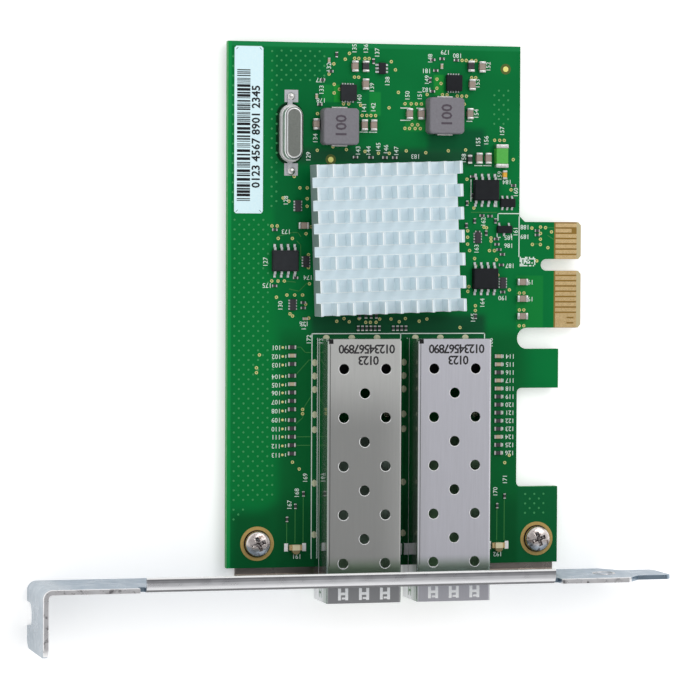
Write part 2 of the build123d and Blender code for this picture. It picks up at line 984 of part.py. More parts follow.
def all_nodes():
    lights = (left_light, right_light)
    chokes = (left_choke, right_choke)
    nodes = {
        "circuit_board": circuit_board(),
        "edge_contacts": edge_contacts(),
        "mounting_bracket": mounting_bracket(),
        "bracket_screws": group(bracket_screw(x) for x in (left_screw_x, right_screw_x)),
        "ground_rings": group(ground_ring(x) for x in (left_screw_x, right_screw_x)),
        "heat_sink": heat_sink(),
        "thermal_pad": thermal_pad(),
        "controller_chip": controller_chip(),
        "crystal_base": crystal_base(),
        "crystal_can": crystal_can(),
        "crystal_leads": group(crystal_lead_pieces()),
        "choke_bodies": group(choke_body(place) for place in chokes),
        "choke_terminals": group(piece for place in chokes for piece in choke_terminals(place)),
        "switcher_bodies": group(switcher_body(place) for place in switcher_places),
        "switcher_pads": group(pad for place in switcher_places for pad in switcher_feet(place)),
        "transistor_bodies": group(transistor_body(spec) for spec in transistors),
        "transistor_leads": group(lead for spec in transistors for lead in transistor_leads(spec)),
        "status_light_bases": group(light_base(place) for place in lights),
        "status_light_lenses": group(light_dome(place) for place in lights),
        "status_light_ends": group(end for place in lights for end in light_ends(place)),
        "paper_label": paper_label(),
    }
    for side, left in zip(("left", "right"), cage_lefts):
        nodes[f"{side}_cage_cover"] = cage_cover(left)
        nodes[f"{side}_cage_floor"] = cage_floor(left)
        nodes[f"{side}_receptacle"] = receptacle(left)
        nodes[f"{side}_receptacle_contacts"] = receptacle_strips(left)
    for name in so_places:
        nodes[f"{name}_body"] = so_chip_body(name)
        nodes[f"{name}_leads"] = so_chip_leads(name)
    body, ends = tall_part_pieces()
    nodes["tall_capacitor_body"] = body
    nodes["tall_capacitor_ends"] = group(ends)
    upright_bodies, upright_ends = placed_chips(large_chip, capacitors_along_y, True)
    flat_bodies, flat_ends = placed_chips(large_chip, capacitors_along_x, False)
    nodes["capacitor_bodies"] = group(upright_bodies + flat_bodies)
    nodes["capacitor_ends"] = group(upright_ends + flat_ends)
    bodies, ends = placed_chips(large_chip, large_resistors, True)
    nodes["large_resistor_bodies"] = group(bodies)
    nodes["large_resistor_ends"] = group(ends)
    rows = placed_chips(small_chip, row_places(), False)
    upright_parts = placed_chips(tiny_chip, light_resistors, True)
    medium_parts = placed_chips(medium_chip, medium_capacitors, True)
    tab_parts = placed_chips(tiny_chip, tab_capacitors, False)
    sets = (rows, upright_parts, medium_parts, tab_parts)
    nodes["small_chip_bodies"] = group(body for bodies, ends in sets for body in bodies)
    nodes["small_chip_ends"] = group(end for bodies, ends in sets for end in ends)
    nodes["resistor_array_bodies"] = group(array_body(place) for place in array_places)
    strips = [strip for place in array_places for strip in array_terminal_strips(place)]
    nodes["resistor_array_ends"] = group(strips)
    body, ends = chip_part(medium_chip, *yellow_part, True)
    nodes["yellow_capacitor_body"] = body
    nodes["yellow_capacitor_ends"] = group(ends)
    return nodes


os.makedirs("parts", exist_ok=True)
for name, shape in all_nodes().items():
    export_step(shape, f"parts/{name}.step")
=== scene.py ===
import json
import math
import random

import bpy
from mathutils import Matrix, Vector

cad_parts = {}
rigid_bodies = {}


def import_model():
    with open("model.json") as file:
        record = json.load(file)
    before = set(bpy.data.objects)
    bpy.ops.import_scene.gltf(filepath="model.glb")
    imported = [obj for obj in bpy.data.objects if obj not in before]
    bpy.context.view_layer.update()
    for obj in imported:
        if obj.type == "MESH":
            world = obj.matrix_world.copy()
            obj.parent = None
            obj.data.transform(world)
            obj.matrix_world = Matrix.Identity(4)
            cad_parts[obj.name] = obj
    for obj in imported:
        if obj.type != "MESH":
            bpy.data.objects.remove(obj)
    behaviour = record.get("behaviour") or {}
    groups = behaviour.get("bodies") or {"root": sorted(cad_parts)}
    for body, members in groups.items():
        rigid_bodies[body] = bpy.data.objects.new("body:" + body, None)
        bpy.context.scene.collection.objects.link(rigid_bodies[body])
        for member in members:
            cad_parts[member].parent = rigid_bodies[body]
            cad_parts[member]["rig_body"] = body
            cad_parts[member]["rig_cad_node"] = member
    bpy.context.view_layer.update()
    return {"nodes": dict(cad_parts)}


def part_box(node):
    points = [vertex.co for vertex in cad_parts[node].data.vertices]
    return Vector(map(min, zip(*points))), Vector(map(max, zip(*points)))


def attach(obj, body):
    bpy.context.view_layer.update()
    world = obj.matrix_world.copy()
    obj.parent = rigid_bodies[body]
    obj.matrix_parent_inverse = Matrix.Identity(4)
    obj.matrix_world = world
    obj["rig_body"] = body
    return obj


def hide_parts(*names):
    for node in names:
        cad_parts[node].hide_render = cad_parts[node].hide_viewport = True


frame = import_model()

nodes = frame["nodes"]

# Sizes are in millimetres in the card's own frame, and become metres where a mesh is made
MM = 0.001


def box(node):
    """The low and high corners of a CAD node, in millimetres."""
    low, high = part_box(node)
    return low / MM, high / MM


board_low, board_high = box("circuit_board")
board_bottom, board_top = board_low.z, board_high.z
contacts_low, contacts_high = box("edge_contacts")
sides = ("left", "right")
cage_lefts = [box(f"{side}_cage_cover")[0].x for side in sides]
cage_low, cage_high = box("left_cage_cover")
cage_width = cage_high.x - cage_low.x
cage_rear, cage_top = cage_high.y, cage_high.z
bracket_low, bracket_high = box("mounting_bracket")
sheet_thickness = 0.95
lip_under = bracket_high.z - sheet_thickness
lip_low, lip_high = -18.1, 59.1
screws_low, screws_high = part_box("bracket_screws")
screw_y = (screws_low.y + screws_high.y) / 2 / MM
screw_head_radius = (screws_high.y - screws_low.y) / 2 / MM
screw_xs = [screws_low.x / MM + screw_head_radius, screws_high.x / MM - screw_head_radius]
screw_foot, screw_top = screws_low.z / MM, screws_high.z / MM
sink_low, sink_high = box("heat_sink")
can_low, can_high = box("crystal_can")
can_middle = (can_low + can_high) / 2
can_half_straight = (can_high.y - can_low.y - can_high.x + can_low.x) / 2

# Camera: where it stands, where it looks and what it holds upright
camera_place = Vector((-135.57, 62.99, 598.02))
camera_look = Vector((0.2569, -0.03223, -0.9659))
camera_up = Vector((0.00364, 0.99947, -0.03239))
camera_lens = 170.5
camera_sensor = 36.0

# Kinds of node: Blender's name, settings, inputs in order, and the output in use, or None for them all
kinds = {
    "place": ("ShaderNodeTexCoord", {}, (), "Object"),
    "direction": ("ShaderNodeTexCoord", {}, (), "Normal"),
    "sky": ("ShaderNodeTexCoord", {}, (), "Generated"),
    "stretch": ("ShaderNodeMapping", {}, ("Vector", "Scale"), "Vector"),
    "noise": ("ShaderNodeTexNoise", {}, ("Vector", "Scale", "Detail"), "Fac"),
    "axes": ("ShaderNodeSeparateXYZ", {}, ("Vector",), None),
    "mix": ("ShaderNodeMix", {"data_type": "RGBA"}, (0, 6, 7), 2),
    "span": ("ShaderNodeMapRange", {"interpolation_type": "SMOOTHSTEP"}, (0, 1, 2, 3, 4), "Result"),
    "bump": ("ShaderNodeBump", {}, ("Height", "Distance"), "Normal"),
    "ray": ("ShaderNodeLightPath", {}, (), None),
    "glow": ("ShaderNodeBackground", {}, ("Color", "Strength"), "Background"),
    "blend": ("ShaderNodeMixShader", {}, (0, 1, 2), "Shader"),
    "world": ("ShaderNodeOutputWorld", {}, ("Surface",), None),
}
for operation in ("add", "subtract", "multiply", "power", "sqrt", "absolute", "maximum", "greater_than"):
    kinds[operation] = ("ShaderNodeMath", {"operation": operation.upper()}, (0, 1), "Value")


def linear(hex_text):
    """An sRGB hex colour as linear red, green, blue and alpha."""
    parts = [int(hex_text[i:i + 2], 16) / 255 for i in (1, 3, 5)]
    return tuple(c / 12.92 if c <= 0.04045 else ((c + 0.055) / 1.055) ** 2.4 for c in parts) + (1.0,)


def add(tree, kind, *values):
    """Adds a node with its settings; each input in turn takes a socket, a number or a hex colour."""
    blender_name, settings, inputs, output = kinds[kind]
    made = tree.nodes.new(blender_name)
    for name, value in settings.items():
        setattr(made, name, value)
    for socket, value in zip(inputs, values):
        if isinstance(value, bpy.types.NodeSocket):
            tree.links.new(value, made.inputs[socket])
        else:
            made.inputs[socket].default_value = linear(value) if isinstance(value, str) else value
    return made.outputs if output is None else made.outputs[output]


def started(name, shader):
    """A new material with constants on its shader's sockets, and its node tree."""
    made = bpy.data.materials.new(name)
    made.use_nodes = True
    for socket, value in shader.items():
        made.node_tree.nodes["Principled BSDF"].inputs[socket].default_value = value
    return made, made.node_tree


def finished(made, colour, gloss=None, relief=None, **links):
    """Links a colour, a pattern with its range of roughness, a relief with its depth, and other sockets."""
    tree = made.node_tree
    links["Base Color"] = colour
    if gloss:
        links["Roughness"] = add(tree, "span", gloss[0], 0.3, 0.7, *gloss[1:])
    if relief:
        links["Normal"] = add(tree, "bump", relief[0], relief[1] * MM)
    for socket, source in links.items():
        tree.links.new(source, tree.nodes["Principled BSDF"].inputs[socket])
    return made


def grain(tree, size, detail=2.0, stretch=(1.0, 1.0, 1.0)):
    """Noise whose grains are about size millimetres across, drawn out along an axis by a small stretch."""
    return add(tree, "noise", add(tree, "stretch", add(tree, "place"), stretch), 1 / (size * MM), detail)


def card_axes(tree):
    """X, Y and Z on the card, in millimetres."""
    return add(tree, "axes", add(tree, "stretch", add(tree, "place"), (1 / MM, 1 / MM, 1 / MM)))


def facing(tree):
    """The surface's own direction as X, Y and Z."""
    return add(tree, "axes", add(tree, "direction"))


def region(tree, axes, x0, x1, y0, y1, soft):
    """1 inside a rectangle on the board and 0 outside it, with a soft edge in millimetres."""
    mask = 1.0
    for axis, low, high in (("X", x0, x1), ("Y", y0, y1)):
        for edge, side in ((low, soft), (high, -soft)):
            mask = add(tree, "multiply", mask, add(tree, "span", axes[axis], edge - side, edge + side))
    return mask


def reach_from(tree, axes, x, y, half_straight=0.0):
    """Distance in millimetres from an upright axis, or from a short line along Y through it."""
    across = add(tree, "subtract", axes["X"], x)
    along = add(tree, "absolute", add(tree, "subtract", axes["Y"], y))
    past = add(tree, "maximum", add(tree, "subtract", along, half_straight), 0.0)
    return add(tree, "sqrt", add(tree, "add", add(tree, "power", across, 2.0), add(tree, "power", past, 2.0)))


# Beige parts among the dark ones of the two rows
row_pitch = 1.524
right_row_top = 41.75
beige_places = [(12.3, 42.04), (12.3, 36.74)]
beige_places += [(52.47, right_row_top - i * row_pitch) for i in (0, 1, 3, 4, 10)]
beige_places += [(15.0, 48.9), (19.15, 96.9), (16.8, 90.2), (41.0, 96.2)]

# Places where the mask is brighter or darker, from copper below and from painted shade: X and Y range,
# softness and colour
mask_zones = [
    # Painted shade between the cages, deeper towards the bottom
    ((9.6, 58.0, 4.0, 46.5), 2.2, "#0a602f"),
    ((8.0, 58.0, -1.0, 15.0), 3.0, "#09542a"),
    # Brighter mask over copper along the left edge
    ((0.7, 9.3, 14.6, 69.0), 1.6, "#087537"),
    # Painted shade at the lower left
    ((0.7, 9.0, -1.0, 13.0), 1.6, "#08572b"),
    # Mask over copper
    ((8.8, 18.0, 60.0, 99.0), 0.8, "#056834"),
    # Painted shade beside the second choke
    ((38.4, 49.6, 80.2, 84.6), 0.9, "#0b5732"),
    # Mask over copper
    ((56.0, 61.3, 46.8, 57.0), 0.2, "#137c37"),
    ((-2.0, 60.0, 99.3, 102.0), 0.2, "#177f46"),
    ((-2.0, 0.65, -2.0, 102.0), 0.15, "#118c45"),
    ((20.1, 22.3, 89.2, 92.4), 0.2, "#1c9236"),
    ((17.9, 20.0, 89.2, 92.4), 0.2, "#12813a"),
    ((27.0, 29.2, 86.8, 91.2), 0.2, "#15843b"),
    ((34.0, 39.6, 84.0, 89.6), 0.2, "#1a8238"),
    ((39.5, 41.5, 90.8, 94.6), 0.2, "#1c8c36"),
    # Painted shade along the heat sink's upper and lower edges
    ((13.5, 47.5, 77.9, 80.6), 0.9, "#1a5234"),
    ((15.9, 49.9, 45.6, 49.6), 0.9, "#124f30"),
    # Mask over copper
    ((56.5, 66.0, 2.0, 17.0), 0.6, "#0f5f34"),
]

# The mask darkens towards the crystal between these distances as painted shadow, and stops this far from the
# contacts
crystal_shadow = (2.75, 2.45)
bare_rim = 0.8


def solder_mask_laminate():
    """Glass laminate under liquid mask: softly glossed green, varied by the copper below and by painted
    shade, pale where sawn.
    """
    made, tree = started("solder_mask_laminate", {"Roughness": 0.34, "Specular IOR Level": 0.045})
    axes = card_axes(tree)
    green = add(tree, "mix", add(tree, "span", grain(tree, 14.0, 1.0), 0.35, 0.65), "#066e36", "#087439")
    for bounds, soft, colour in mask_zones:
        green = add(tree, "mix", region(tree, axes, *bounds, soft), green, colour)
    can_distance = reach_from(tree, axes, can_middle.x, can_middle.y, can_half_straight)
    # Painted shadow round the crystal can
    green = add(tree, "mix", add(tree, "span", can_distance, *crystal_shadow), green, "#08301a")
    tab_ys = (contacts_low.y - bare_rim, contacts_high.y + bare_rim)
    bevel = add(tree, "greater_than", axes["X"], contacts_high.x + 0.02)
    laminate = add(tree, "mix", bevel, "#8f7138", "#bdb18b")
    bare = region(tree, axes, contacts_low.x - 0.25, contacts_high.x + 4.0, *tab_ys, 0.02)
    face = add(tree, "mix", bare, green, laminate)
    flat = add(tree, "greater_than", add(tree, "absolute", facing(tree)["Z"]), 0.5)
    sawn = add(tree, "mix", grain(tree, 0.25, 2.0, (1, 1, 6)), "#1c8a48", "#5cab62")
    colour = add(tree, "mix", flat, add(tree, "mix", bevel, sawn, laminate), face)
    return finished(made, colour, (grain(tree, 1.5), 0.28, 0.42), (grain(tree, 0.45, 3.0), 0.004))


def gold_plating():
    """Hard gold over nickel: satin, a little deeper in tone where it is rubbed."""
    made, tree = started("gold_plating", {"Metallic": 1.0, "Roughness": 0.34})
    colour = add(tree, "mix", grain(tree, 0.8, 3.0), "#cdac75", "#ebd19e")
    return finished(made, colour, (grain(tree, 0.3, 2.0, (1, 6, 1)), 0.26, 0.42))


# Bracket: bands of tone, most of them painted light and shade on the lip, each from its first to its full
# place along Y, Z or X
fold_shadow = (0.62, 0.36)
bend_shadow_line = (0.56, 0.3)
lip_crest = (1.6, 1.85)
flat_shadow = (2.08, 2.2)
lip_rim = (2.42, 2.5)
ears_under_board = (-0.9, -1.3)
ears_bounds = (-2.0, 66.0, 0.95, 20.0)
tab_side = (-30.0, -34.0)


def nickel_plated_steel():
    """Cold-rolled sheet, nickel plated: satin, bluish on the strip, with painted highlights and shade across
    the folded lip and a painted shade line below the bend.
    """
    made, tree = started("nickel_plated_steel", {"Metallic": 1.0, "Roughness": 0.3})
    axes = card_axes(tree)
    lines = grain(tree, 0.9, 3.0, (0.06, 1, 1))
    fine = grain(tree, 0.22, 2.0, (0.03, 1, 1))
    strip = add(tree, "mix", lines, "#7f909f", "#92a3b1")
    tab = add(tree, "mix", lines, "#94a0aa", "#aab5be")
    strip = add(tree, "mix", add(tree, "span", axes["X"], *tab_side), strip, tab)
    # Painted highlight round the lip's fold, with painted shade where it turns down
    fold = add(tree, "mix", fine, "#d2d3d6", "#f4f4f6")
    fold = add(tree, "mix", add(tree, "span", axes["Y"], *fold_shadow), fold, "#747477")
    run = region(tree, axes, lip_low, lip_high, -1.0, 4.0, 0.1)
    edge = add(tree, "mix", add(tree, "span", grain(tree, 1.1, 3.0), 0.26, 0.48), "#737173", "#e4e3e4")
    fold = add(tree, "mix", run, edge, fold)
    # The lip's flat: a painted shade band, then a painted highlight along its rim
    flat = add(tree, "mix", fine, "#97979b", "#c2c2c5")
    flat = add(tree, "mix", add(tree, "span", axes["Y"], *flat_shadow), flat, "#939396")
    rim = add(tree, "span", axes["Y"], *lip_rim)
    flat = add(tree, "mix", rim, flat, "#f4f4f4")
    lip = add(tree, "span", axes["Z"], lip_under - 0.1, lip_under + 0.1)
    lip_light_bands = add(tree, "mix", add(tree, "span", axes["Y"], *lip_crest), fold, flat)
    colour = add(tree, "mix", lip, strip, lip_light_bands)
    ears = region(tree, axes, *ears_bounds, 0.05)
    ears = add(tree, "multiply", add(tree, "span", axes["Z"], *ears_under_board), ears)
    colour = add(tree, "mix", ears, colour, add(tree, "mix", lines, "#6b6059", "#94887e"))
    # Painted shade line on the outer face just below the bend
    bend = add(tree, "multiply", add(tree, "span", axes["Y"], *bend_shadow_line), run)
    bend = add(tree, "multiply", bend, add(tree, "span", axes["Z"], lip_under - 1.1, lip_under - 0.7))
    colour = add(tree, "mix", bend, colour, "#5b5b5e")
    # The painted highlight on the lip's rim is taken out of the metal so that it shows white
    lit = add(tree, "multiply", add(tree, "multiply", rim, lip), 0.9)
    metal = add(tree, "subtract", 1.0, lit)
    return finished(made, colour, (grain(tree, 2.0, 3.0), 0.26, 0.38), (lines, 0.003), Metallic=metal)


# Cages: bands of painted reflection and shade in millimetres; a painted highlight runs along the walls at
# this seam height
seam_height = 3.7
seam_inner, seam_outer = 0.1, 0.22
right_cage_from = (31.0, 34.0)
left_cage_shade_bounds = (10.0, 31.5, -5.0, 34.0)
mouth_from = (0.0, -0.6)
inside_from = (cage_top - 0.6, cage_top - 1.2)
green_reflection_bounds = (10.0, 60.0, 0.9, 4.2)


def tin_plated_sheet():
    """Stamped copper-alloy sheet, tin plated: grey satin tops, glossier walls, painted reflections and shade
    on both, and a painted highlight along the walls' seam.
    """
    made, tree = started("tin_plated_sheet", {"Metallic": 1.0, "Roughness": 0.3})
    axes = card_axes(tree)
    upward = add(tree, "span", add(tree, "absolute", facing(tree)["Z"]), 0.6, 0.95)
    lines = grain(tree, 0.3, 3.0, (1, 0.05, 1))
    # Both cages are one sheet; the right one's paler, lavender tones are painted reflection
    right_side = add(tree, "span", axes["X"], *right_cage_from)
    top = add(tree, "mix", right_side, "#e1e2de", "#e6e6ee")
    # Painted shade over the middle of the left cage's top
    top = add(tree, "mix", region(tree, axes, *left_cage_shade_bounds, 6.0), top, "#b2b3b0")
    mouth = add(tree, "mix", right_side, "#a6a7a9", "#cfcfd6")
    top = add(tree, "mix", add(tree, "span", axes["Y"], *mouth_from), top, mouth)
    # Painted greenish reflection of the board on faces inside the tops
    inside = add(tree, "mix", right_side, "#d4ecdb", "#a9d0a8")
    top = add(tree, "mix", add(tree, "span", axes["Z"], *inside_from), top, inside)
    # Painted green reflection of the board near the front of the tops
    green_reflection = add(tree, "multiply", region(tree, axes, *green_reflection_bounds, 1.3), 0.75)
    top = add(tree, "mix", green_reflection, top, "#6c8a68")
    top = add(tree, "mix", add(tree, "multiply", lines, 0.18), top, "#858483")
    wall = add(tree, "mix", lines, "#b9b9ba", "#e6e6e8")
    # Painted highlight along the walls at the seam height
    seam = add(tree, "span", axes["Z"], seam_height - seam_outer, seam_height - seam_inner)
    seam_end = add(tree, "span", axes["Z"], seam_height + seam_outer, seam_height + seam_inner)
    seam = add(tree, "multiply", seam, seam_end)
    # Painted greenish reflection towards the tops of the walls; it and the highlight are partly taken out of
    # the metal
    wall_reflection = add(tree, "span", axes["Z"], seam_height + 1.0, cage_top - 0.6)
    wall = add(tree, "mix", wall_reflection, wall, "#8f9a92")
    wall = add(tree, "mix", seam, wall, "#f6f6f6")
    pale = add(tree, "maximum", seam, add(tree, "multiply", wall_reflection, 0.22))
    upright = add(tree, "subtract", 1.0, upward)
    metal = add(tree, "subtract", 1.0, add(tree, "multiply", upright, pale))
    rough = add(tree, "span", upward, 0.0, 1.0, 0.1, 0.3)
    colour = add(tree, "mix", upward, wall, top)
    return finished(made, colour, relief=(grain(tree, 9.0), 0.01), Metallic=metal, Roughness=rough)


# Screw heads: painted shade in the recess darkens inwards from the first radius and down from the first
# height
recess_reach = (1.5, 1.4)
recess_depth = (1.32, 1.1)


def zinc_plated_steel():
    """Cold-headed screw, zinc plated: bright crown with a few dents and dark blotches, painted shade down in
    the cross recess.
    """
    made, tree = started("zinc_plated_steel", {"Metallic": 1.0, "Roughness": 0.24})
    axes = card_axes(tree)
    tone = add(tree, "mix", grain(tree, 0.5, 3.0), "#c9bdb8", "#f1e9e5")
    tone = add(tree, "mix", add(tree, "span", grain(tree, 1.1), 0.54, 0.66), tone, "#8a7a73")
    deep = add(tree, "span", axes["Z"], *recess_depth)
    recess_shade = add(tree, "mix", add(tree, "span", grain(tree, 0.35, 3.0), 0.4, 0.62), "#352c2b", "#c9c2bf")
    for x in screw_xs:
        well = add(tree, "span", reach_from(tree, axes, x, screw_y), *recess_reach)
        tone = add(tree, "mix", add(tree, "multiply", well, deep), tone, recess_shade)
    return finished(made, tone, relief=(grain(tree, 0.9), 0.05))


# Heat sink: its fins pale towards their tops and its upright faces paler, both painted light, and its left
# face lies in painted shade
fin_crest = (sink_high.z - 1.2, sink_high.z - 0.05)
shaded_side = (17.2, 15.6)


def anodised_aluminium():
    """Extruded and sawn aluminium, clear anodised: pale and chalky, with painted light by height and by
    facing; the bright sawn edges on the fins are painted highlights made as separate strips.
    """
    made, tree = started("anodised_aluminium", {"Metallic": 0.08, "Roughness": 0.6})
    axes = card_axes(tree)
    face = facing(tree)
    lines = grain(tree, 0.5, 3.0, (0.15, 1, 1))
    floor = add(tree, "mix", lines, "#d8e8ef", "#e5f2f8")
    pale = add(tree, "mix", add(tree, "span", axes["Z"], *fin_crest), floor, "#d7e6ed")
    upright = add(tree, "span", add(tree, "absolute", face["Z"]), 0.8, 0.4)
    pale = add(tree, "mix", upright, pale, "#e4f0f5")
    left = add(tree, "span", add(tree, "multiply", face["X"], -1.0), 0.5, 0.9)
    outer = add(tree, "multiply", left, add(tree, "span", axes["X"], *shaded_side))
    return finished(made, add(tree, "mix", outer, pale, "#7d918f"), (lines, 0.52, 0.66), (lines, 0.005))


def moulded_epoxy():
    """Silica-filled epoxy, transfer moulded: near black, finely pebbled from the mould."""
    made, tree = started("moulded_epoxy", {"Roughness": 0.6, "Specular IOR Level": 0.14})
    cloud = grain(tree, 1.2, 3.0)
    near = add(tree, "mix", cloud, "#27292c", "#323438")
    far = add(tree, "mix", cloud, "#1a1c1f", "#232529")
    colour = add(tree, "mix", add(tree, "span", card_axes(tree)["X"], 16.0, 40.0), near, far)
    return finished(made, colour, relief=(grain(tree, 0.12), 0.012))


# Crystal can: distances from its middle line at which the lid, the rims, the groove and the flange begin;
# rims and flange carry painted highlights, the groove painted shade
can_rim = (1.16, 1.22)
can_groove = (1.42, 1.48)
can_wall = (1.56, 1.62)
can_flange = (1.84, 1.9)


def nickel_silver_can():
    """Deep-drawn nickel silver: dull grey-green lid inside two rolled rims and a flange, bright with painted
    highlights, and painted shade in the groove between the rims.
    """
    made, tree = started("nickel_silver_can", {"Metallic": 1.0, "Roughness": 0.34})
    reach = reach_from(tree, card_axes(tree), can_middle.x, can_middle.y, can_half_straight)
    mottle = grain(tree, 0.35, 4.0)
    colour = add(tree, "mix", mottle, "#7a7e79", "#90948e")
    bright = add(tree, "mix", mottle, "#dfdfde", "#ffffff")
    groove = add(tree, "span", reach, *can_groove)
    colour = add(tree, "mix", add(tree, "span", reach, *can_rim), colour, bright)
    colour = add(tree, "mix", groove, colour, "#5f605e")
    colour = add(tree, "mix", add(tree, "span", reach, *can_wall), colour, bright)
    colour = add(tree, "mix", add(tree, "span", reach, *can_flange), colour, "#cfcfce")
    step = add(tree, "subtract", add(tree, "span", reach, 1.1, 1.22), groove)
    relief = add(tree, "add", step, add(tree, "multiply", mottle, 0.12))
    return finished(made, colour, relief=(relief, 0.08))


def row_ceramic():
    """Small parts in rows: most are black glaze; beige ceramic shows at a few places along the board."""
    made, tree = started("row_ceramic", {"Roughness": 0.4})
    axes = card_axes(tree)
    beige = 0.0
    for x, y in beige_places:
        beige = add(tree, "maximum", beige, region(tree, axes, x - 1.0, x + 1.0, y - 0.6, y + 0.6, 0.05))
    speckle = grain(tree, 0.25, 3.0)
    black = add(tree, "mix", speckle, "#302f33", "#403e42")
    colour = add(tree, "mix", beige, black, add(tree, "mix", speckle, "#a89980", "#c0b196"))
    return finished(made, colour, relief=(speckle, 0.008))


def clear_resin():
    """Cast clear resin of a side-looking light, faintly amber."""
    made, tree = started("clear_resin", {"Roughness": 0.18, "IOR": 1.5, "Transmission Weight": 0.55})
    return finished(made, add(tree, "mix", grain(tree, 0.5), "#b39a62", "#d8c690"))


def rays_that_see(tree):
    """1 for rays from the camera, a gloss or clear resin, and 0 for light spread by matte faces."""
    path = add(tree, "ray")
    either = add(tree, "maximum", path["Is Camera Ray"], path["Is Glossy Ray"])
    return add(tree, "maximum", either, path["Is Transmission Ray"])


def studio_floor():
    """Matte white sweep board; a little light of its own keeps it plain white where no shadow falls."""
    shader = {"Roughness": 0.9, "Specular IOR Level": 0.1, "Emission Color": (1, 1, 1, 1)}
    made, tree = started("studio_floor", shader)
    glow = {"Emission Strength": add(tree, "multiply", rays_that_see(tree), 0.3)}
    return finished(made, add(tree, "mix", grain(tree, 300.0), "#fbfbfb", "#ffffff"), **glow)


def even(name, low, high, shader, colour_grain, relief_grain, depth):
    """An even finish between two tones, with a fine relief; each grain is a size and a detail."""
    made, tree = started(name, shader)
    colour = add(tree, "mix", grain(tree, *colour_grain), low, high)
    return finished(made, colour, relief=(grain(tree, *relief_grain), depth))


def speckled_ceramic(name, low, high, roughness):
    """Fired ceramic block: even colour with a fine speckle, slightly waxy."""
    return even(name, low, high, {"Roughness": roughness}, (0.25, 3.0), (0.3, 2.0), 0.008)


def film(name, low, high, roughness):
    """Thin film seen small: printed ink, mask on copper, solder or a rubbed edge, and painted highlights and
    shade, a little uneven in tone.
    """
    shader = {"Roughness": roughness, "Specular IOR Level": 0.25}
    return even(name, low, high, shader, (0.35, 3.0), (0.2, 2.0), 0.006)


tin_shader = {"Metallic": 1.0, "Roughness": 0.3}
materials = {
    "laminate": solder_mask_laminate(),
    "gold": gold_plating(),
    "bracket": nickel_plated_steel(),
    "cage": tin_plated_sheet(),
    "screw": zinc_plated_steel(),
    "sink": anodised_aluminium(),
    "epoxy": moulded_epoxy(),
    "crystal": nickel_silver_can(),
    "row": row_ceramic(),
    "resin": clear_resin(),
    # Filled silicone sheet: chalky and matte
    "pad": even("silicone_pad", "#75767c", "#8c8e94", {"Roughness": 0.85}, (0.3, 2.0), (0.2, 2.0), 0.02),
    # Iron powder pressed with resin: mauve grey, dry, with fine pits
    "choke": even(
        "pressed_iron_powder", "#706e74", "#807e85", {"Roughness": 0.62}, (0.5, 4.0), (0.25, 3.0), 0.02
    ),
    # Copper under solder: soft silver, rounded and slightly uneven
    "tin": even("tinned_copper", "#c9c8c4", "#eeeeec", tin_shader, (0.5, 2.0), (0.4, 2.0), 0.03),
    # Glass-filled polymer, injection moulded: black with a light sheen
    "black": even("black_polymer", "#0e0e0f", "#1a1a1b", {"Roughness": 0.45}, (0.6, 2.0), (0.3, 2.0), 0.01),
    # Moulded light body: ivory and slightly waxy
    "pale": even("pale_polymer", "#e2d3a4", "#efe5c2", {"Roughness": 0.4}, (0.5, 2.0), (0.2, 2.0), 0.006),
    # Coated label stock: cool white with a trace of fibre
    "paper": even("coated_paper", "#d4f3fd", "#e4fbff", {"Roughness": 0.55}, (0.4, 4.0), (0.15, 3.0), 0.006),
    "green_part": speckled_ceramic("green_coated_ceramic", "#3fa336", "#52b945", 0.35),
    "ceramic": speckled_ceramic("barium_titanate_ceramic", "#8d7d72", "#a39488", 0.4),
    "glaze": speckled_ceramic("black_resistor_glaze", "#26252a", "#353338", 0.3),
    "yellow_part": speckled_ceramic("tantalum_resin", "#d99a1c", "#f0bb3a", 0.4),
    "white_ink": film("white_legend_ink", "#cfe0d6", "#eef7f1", 0.6),
    "black_ink": film("black_label_ink", "#0c0d10", "#1a1b20", 0.5),
    "grey_ink": film("grey_part_ink", "#4a434b", "#5a525b", 0.6),
    "dark_ink": film("dark_stamp_ink", "#262527", "#333134", 0.5),
    "tented": film("mask_over_plated_holes", "#2c8a4d", "#459c60", 0.35),
    "trace": film("mask_over_copper", "#2c7636", "#3a823f", 0.34),
    "mask_gap": film("bare_laminate_ring", "#4a5a24", "#5a6a2c", 0.5),
    "hole": film("dark_bore", "#5b7a2e", "#7d9440", 0.6),
    "solder": film("fresh_solder", "#8f9195", "#f6f7f9", 0.3),
    "land": film("satin_tin_land", "#a6a9ae", "#c6c8cc", 0.35),
    "rubbed_gold": film("rubbed_gold", "#a88a4a", "#c6a866", 0.35),
    # Painted highlights on the heat sink's sawn fin edges
    "edge_glint": film("painted_fin_edge_highlight", "#f2fafd", "#fcffff", 0.5),
    # Near white: painted highlights on vent rims and slot edges, and the tin of the lands by the status
    # lights
    "leaf": film("bright_slot_edge", "#e3e4e4", "#fbfbfb", 0.4),
    # Painted shade for the folds, the open corners and round the screw heads
    "shade": film("painted_shade_film", "#0a0a0c", "#141416", 0.6),
    "dot": film("bright_gold_dot", "#e0d860", "#f2ee9c", 0.3),
    "ring": film("pale_gold_ring", "#c9c07a", "#e6dfa0", 0.35),
    "dull_tin": film("reflowed_solder", "#aeb392", "#d6d9b8", 0.4),
}

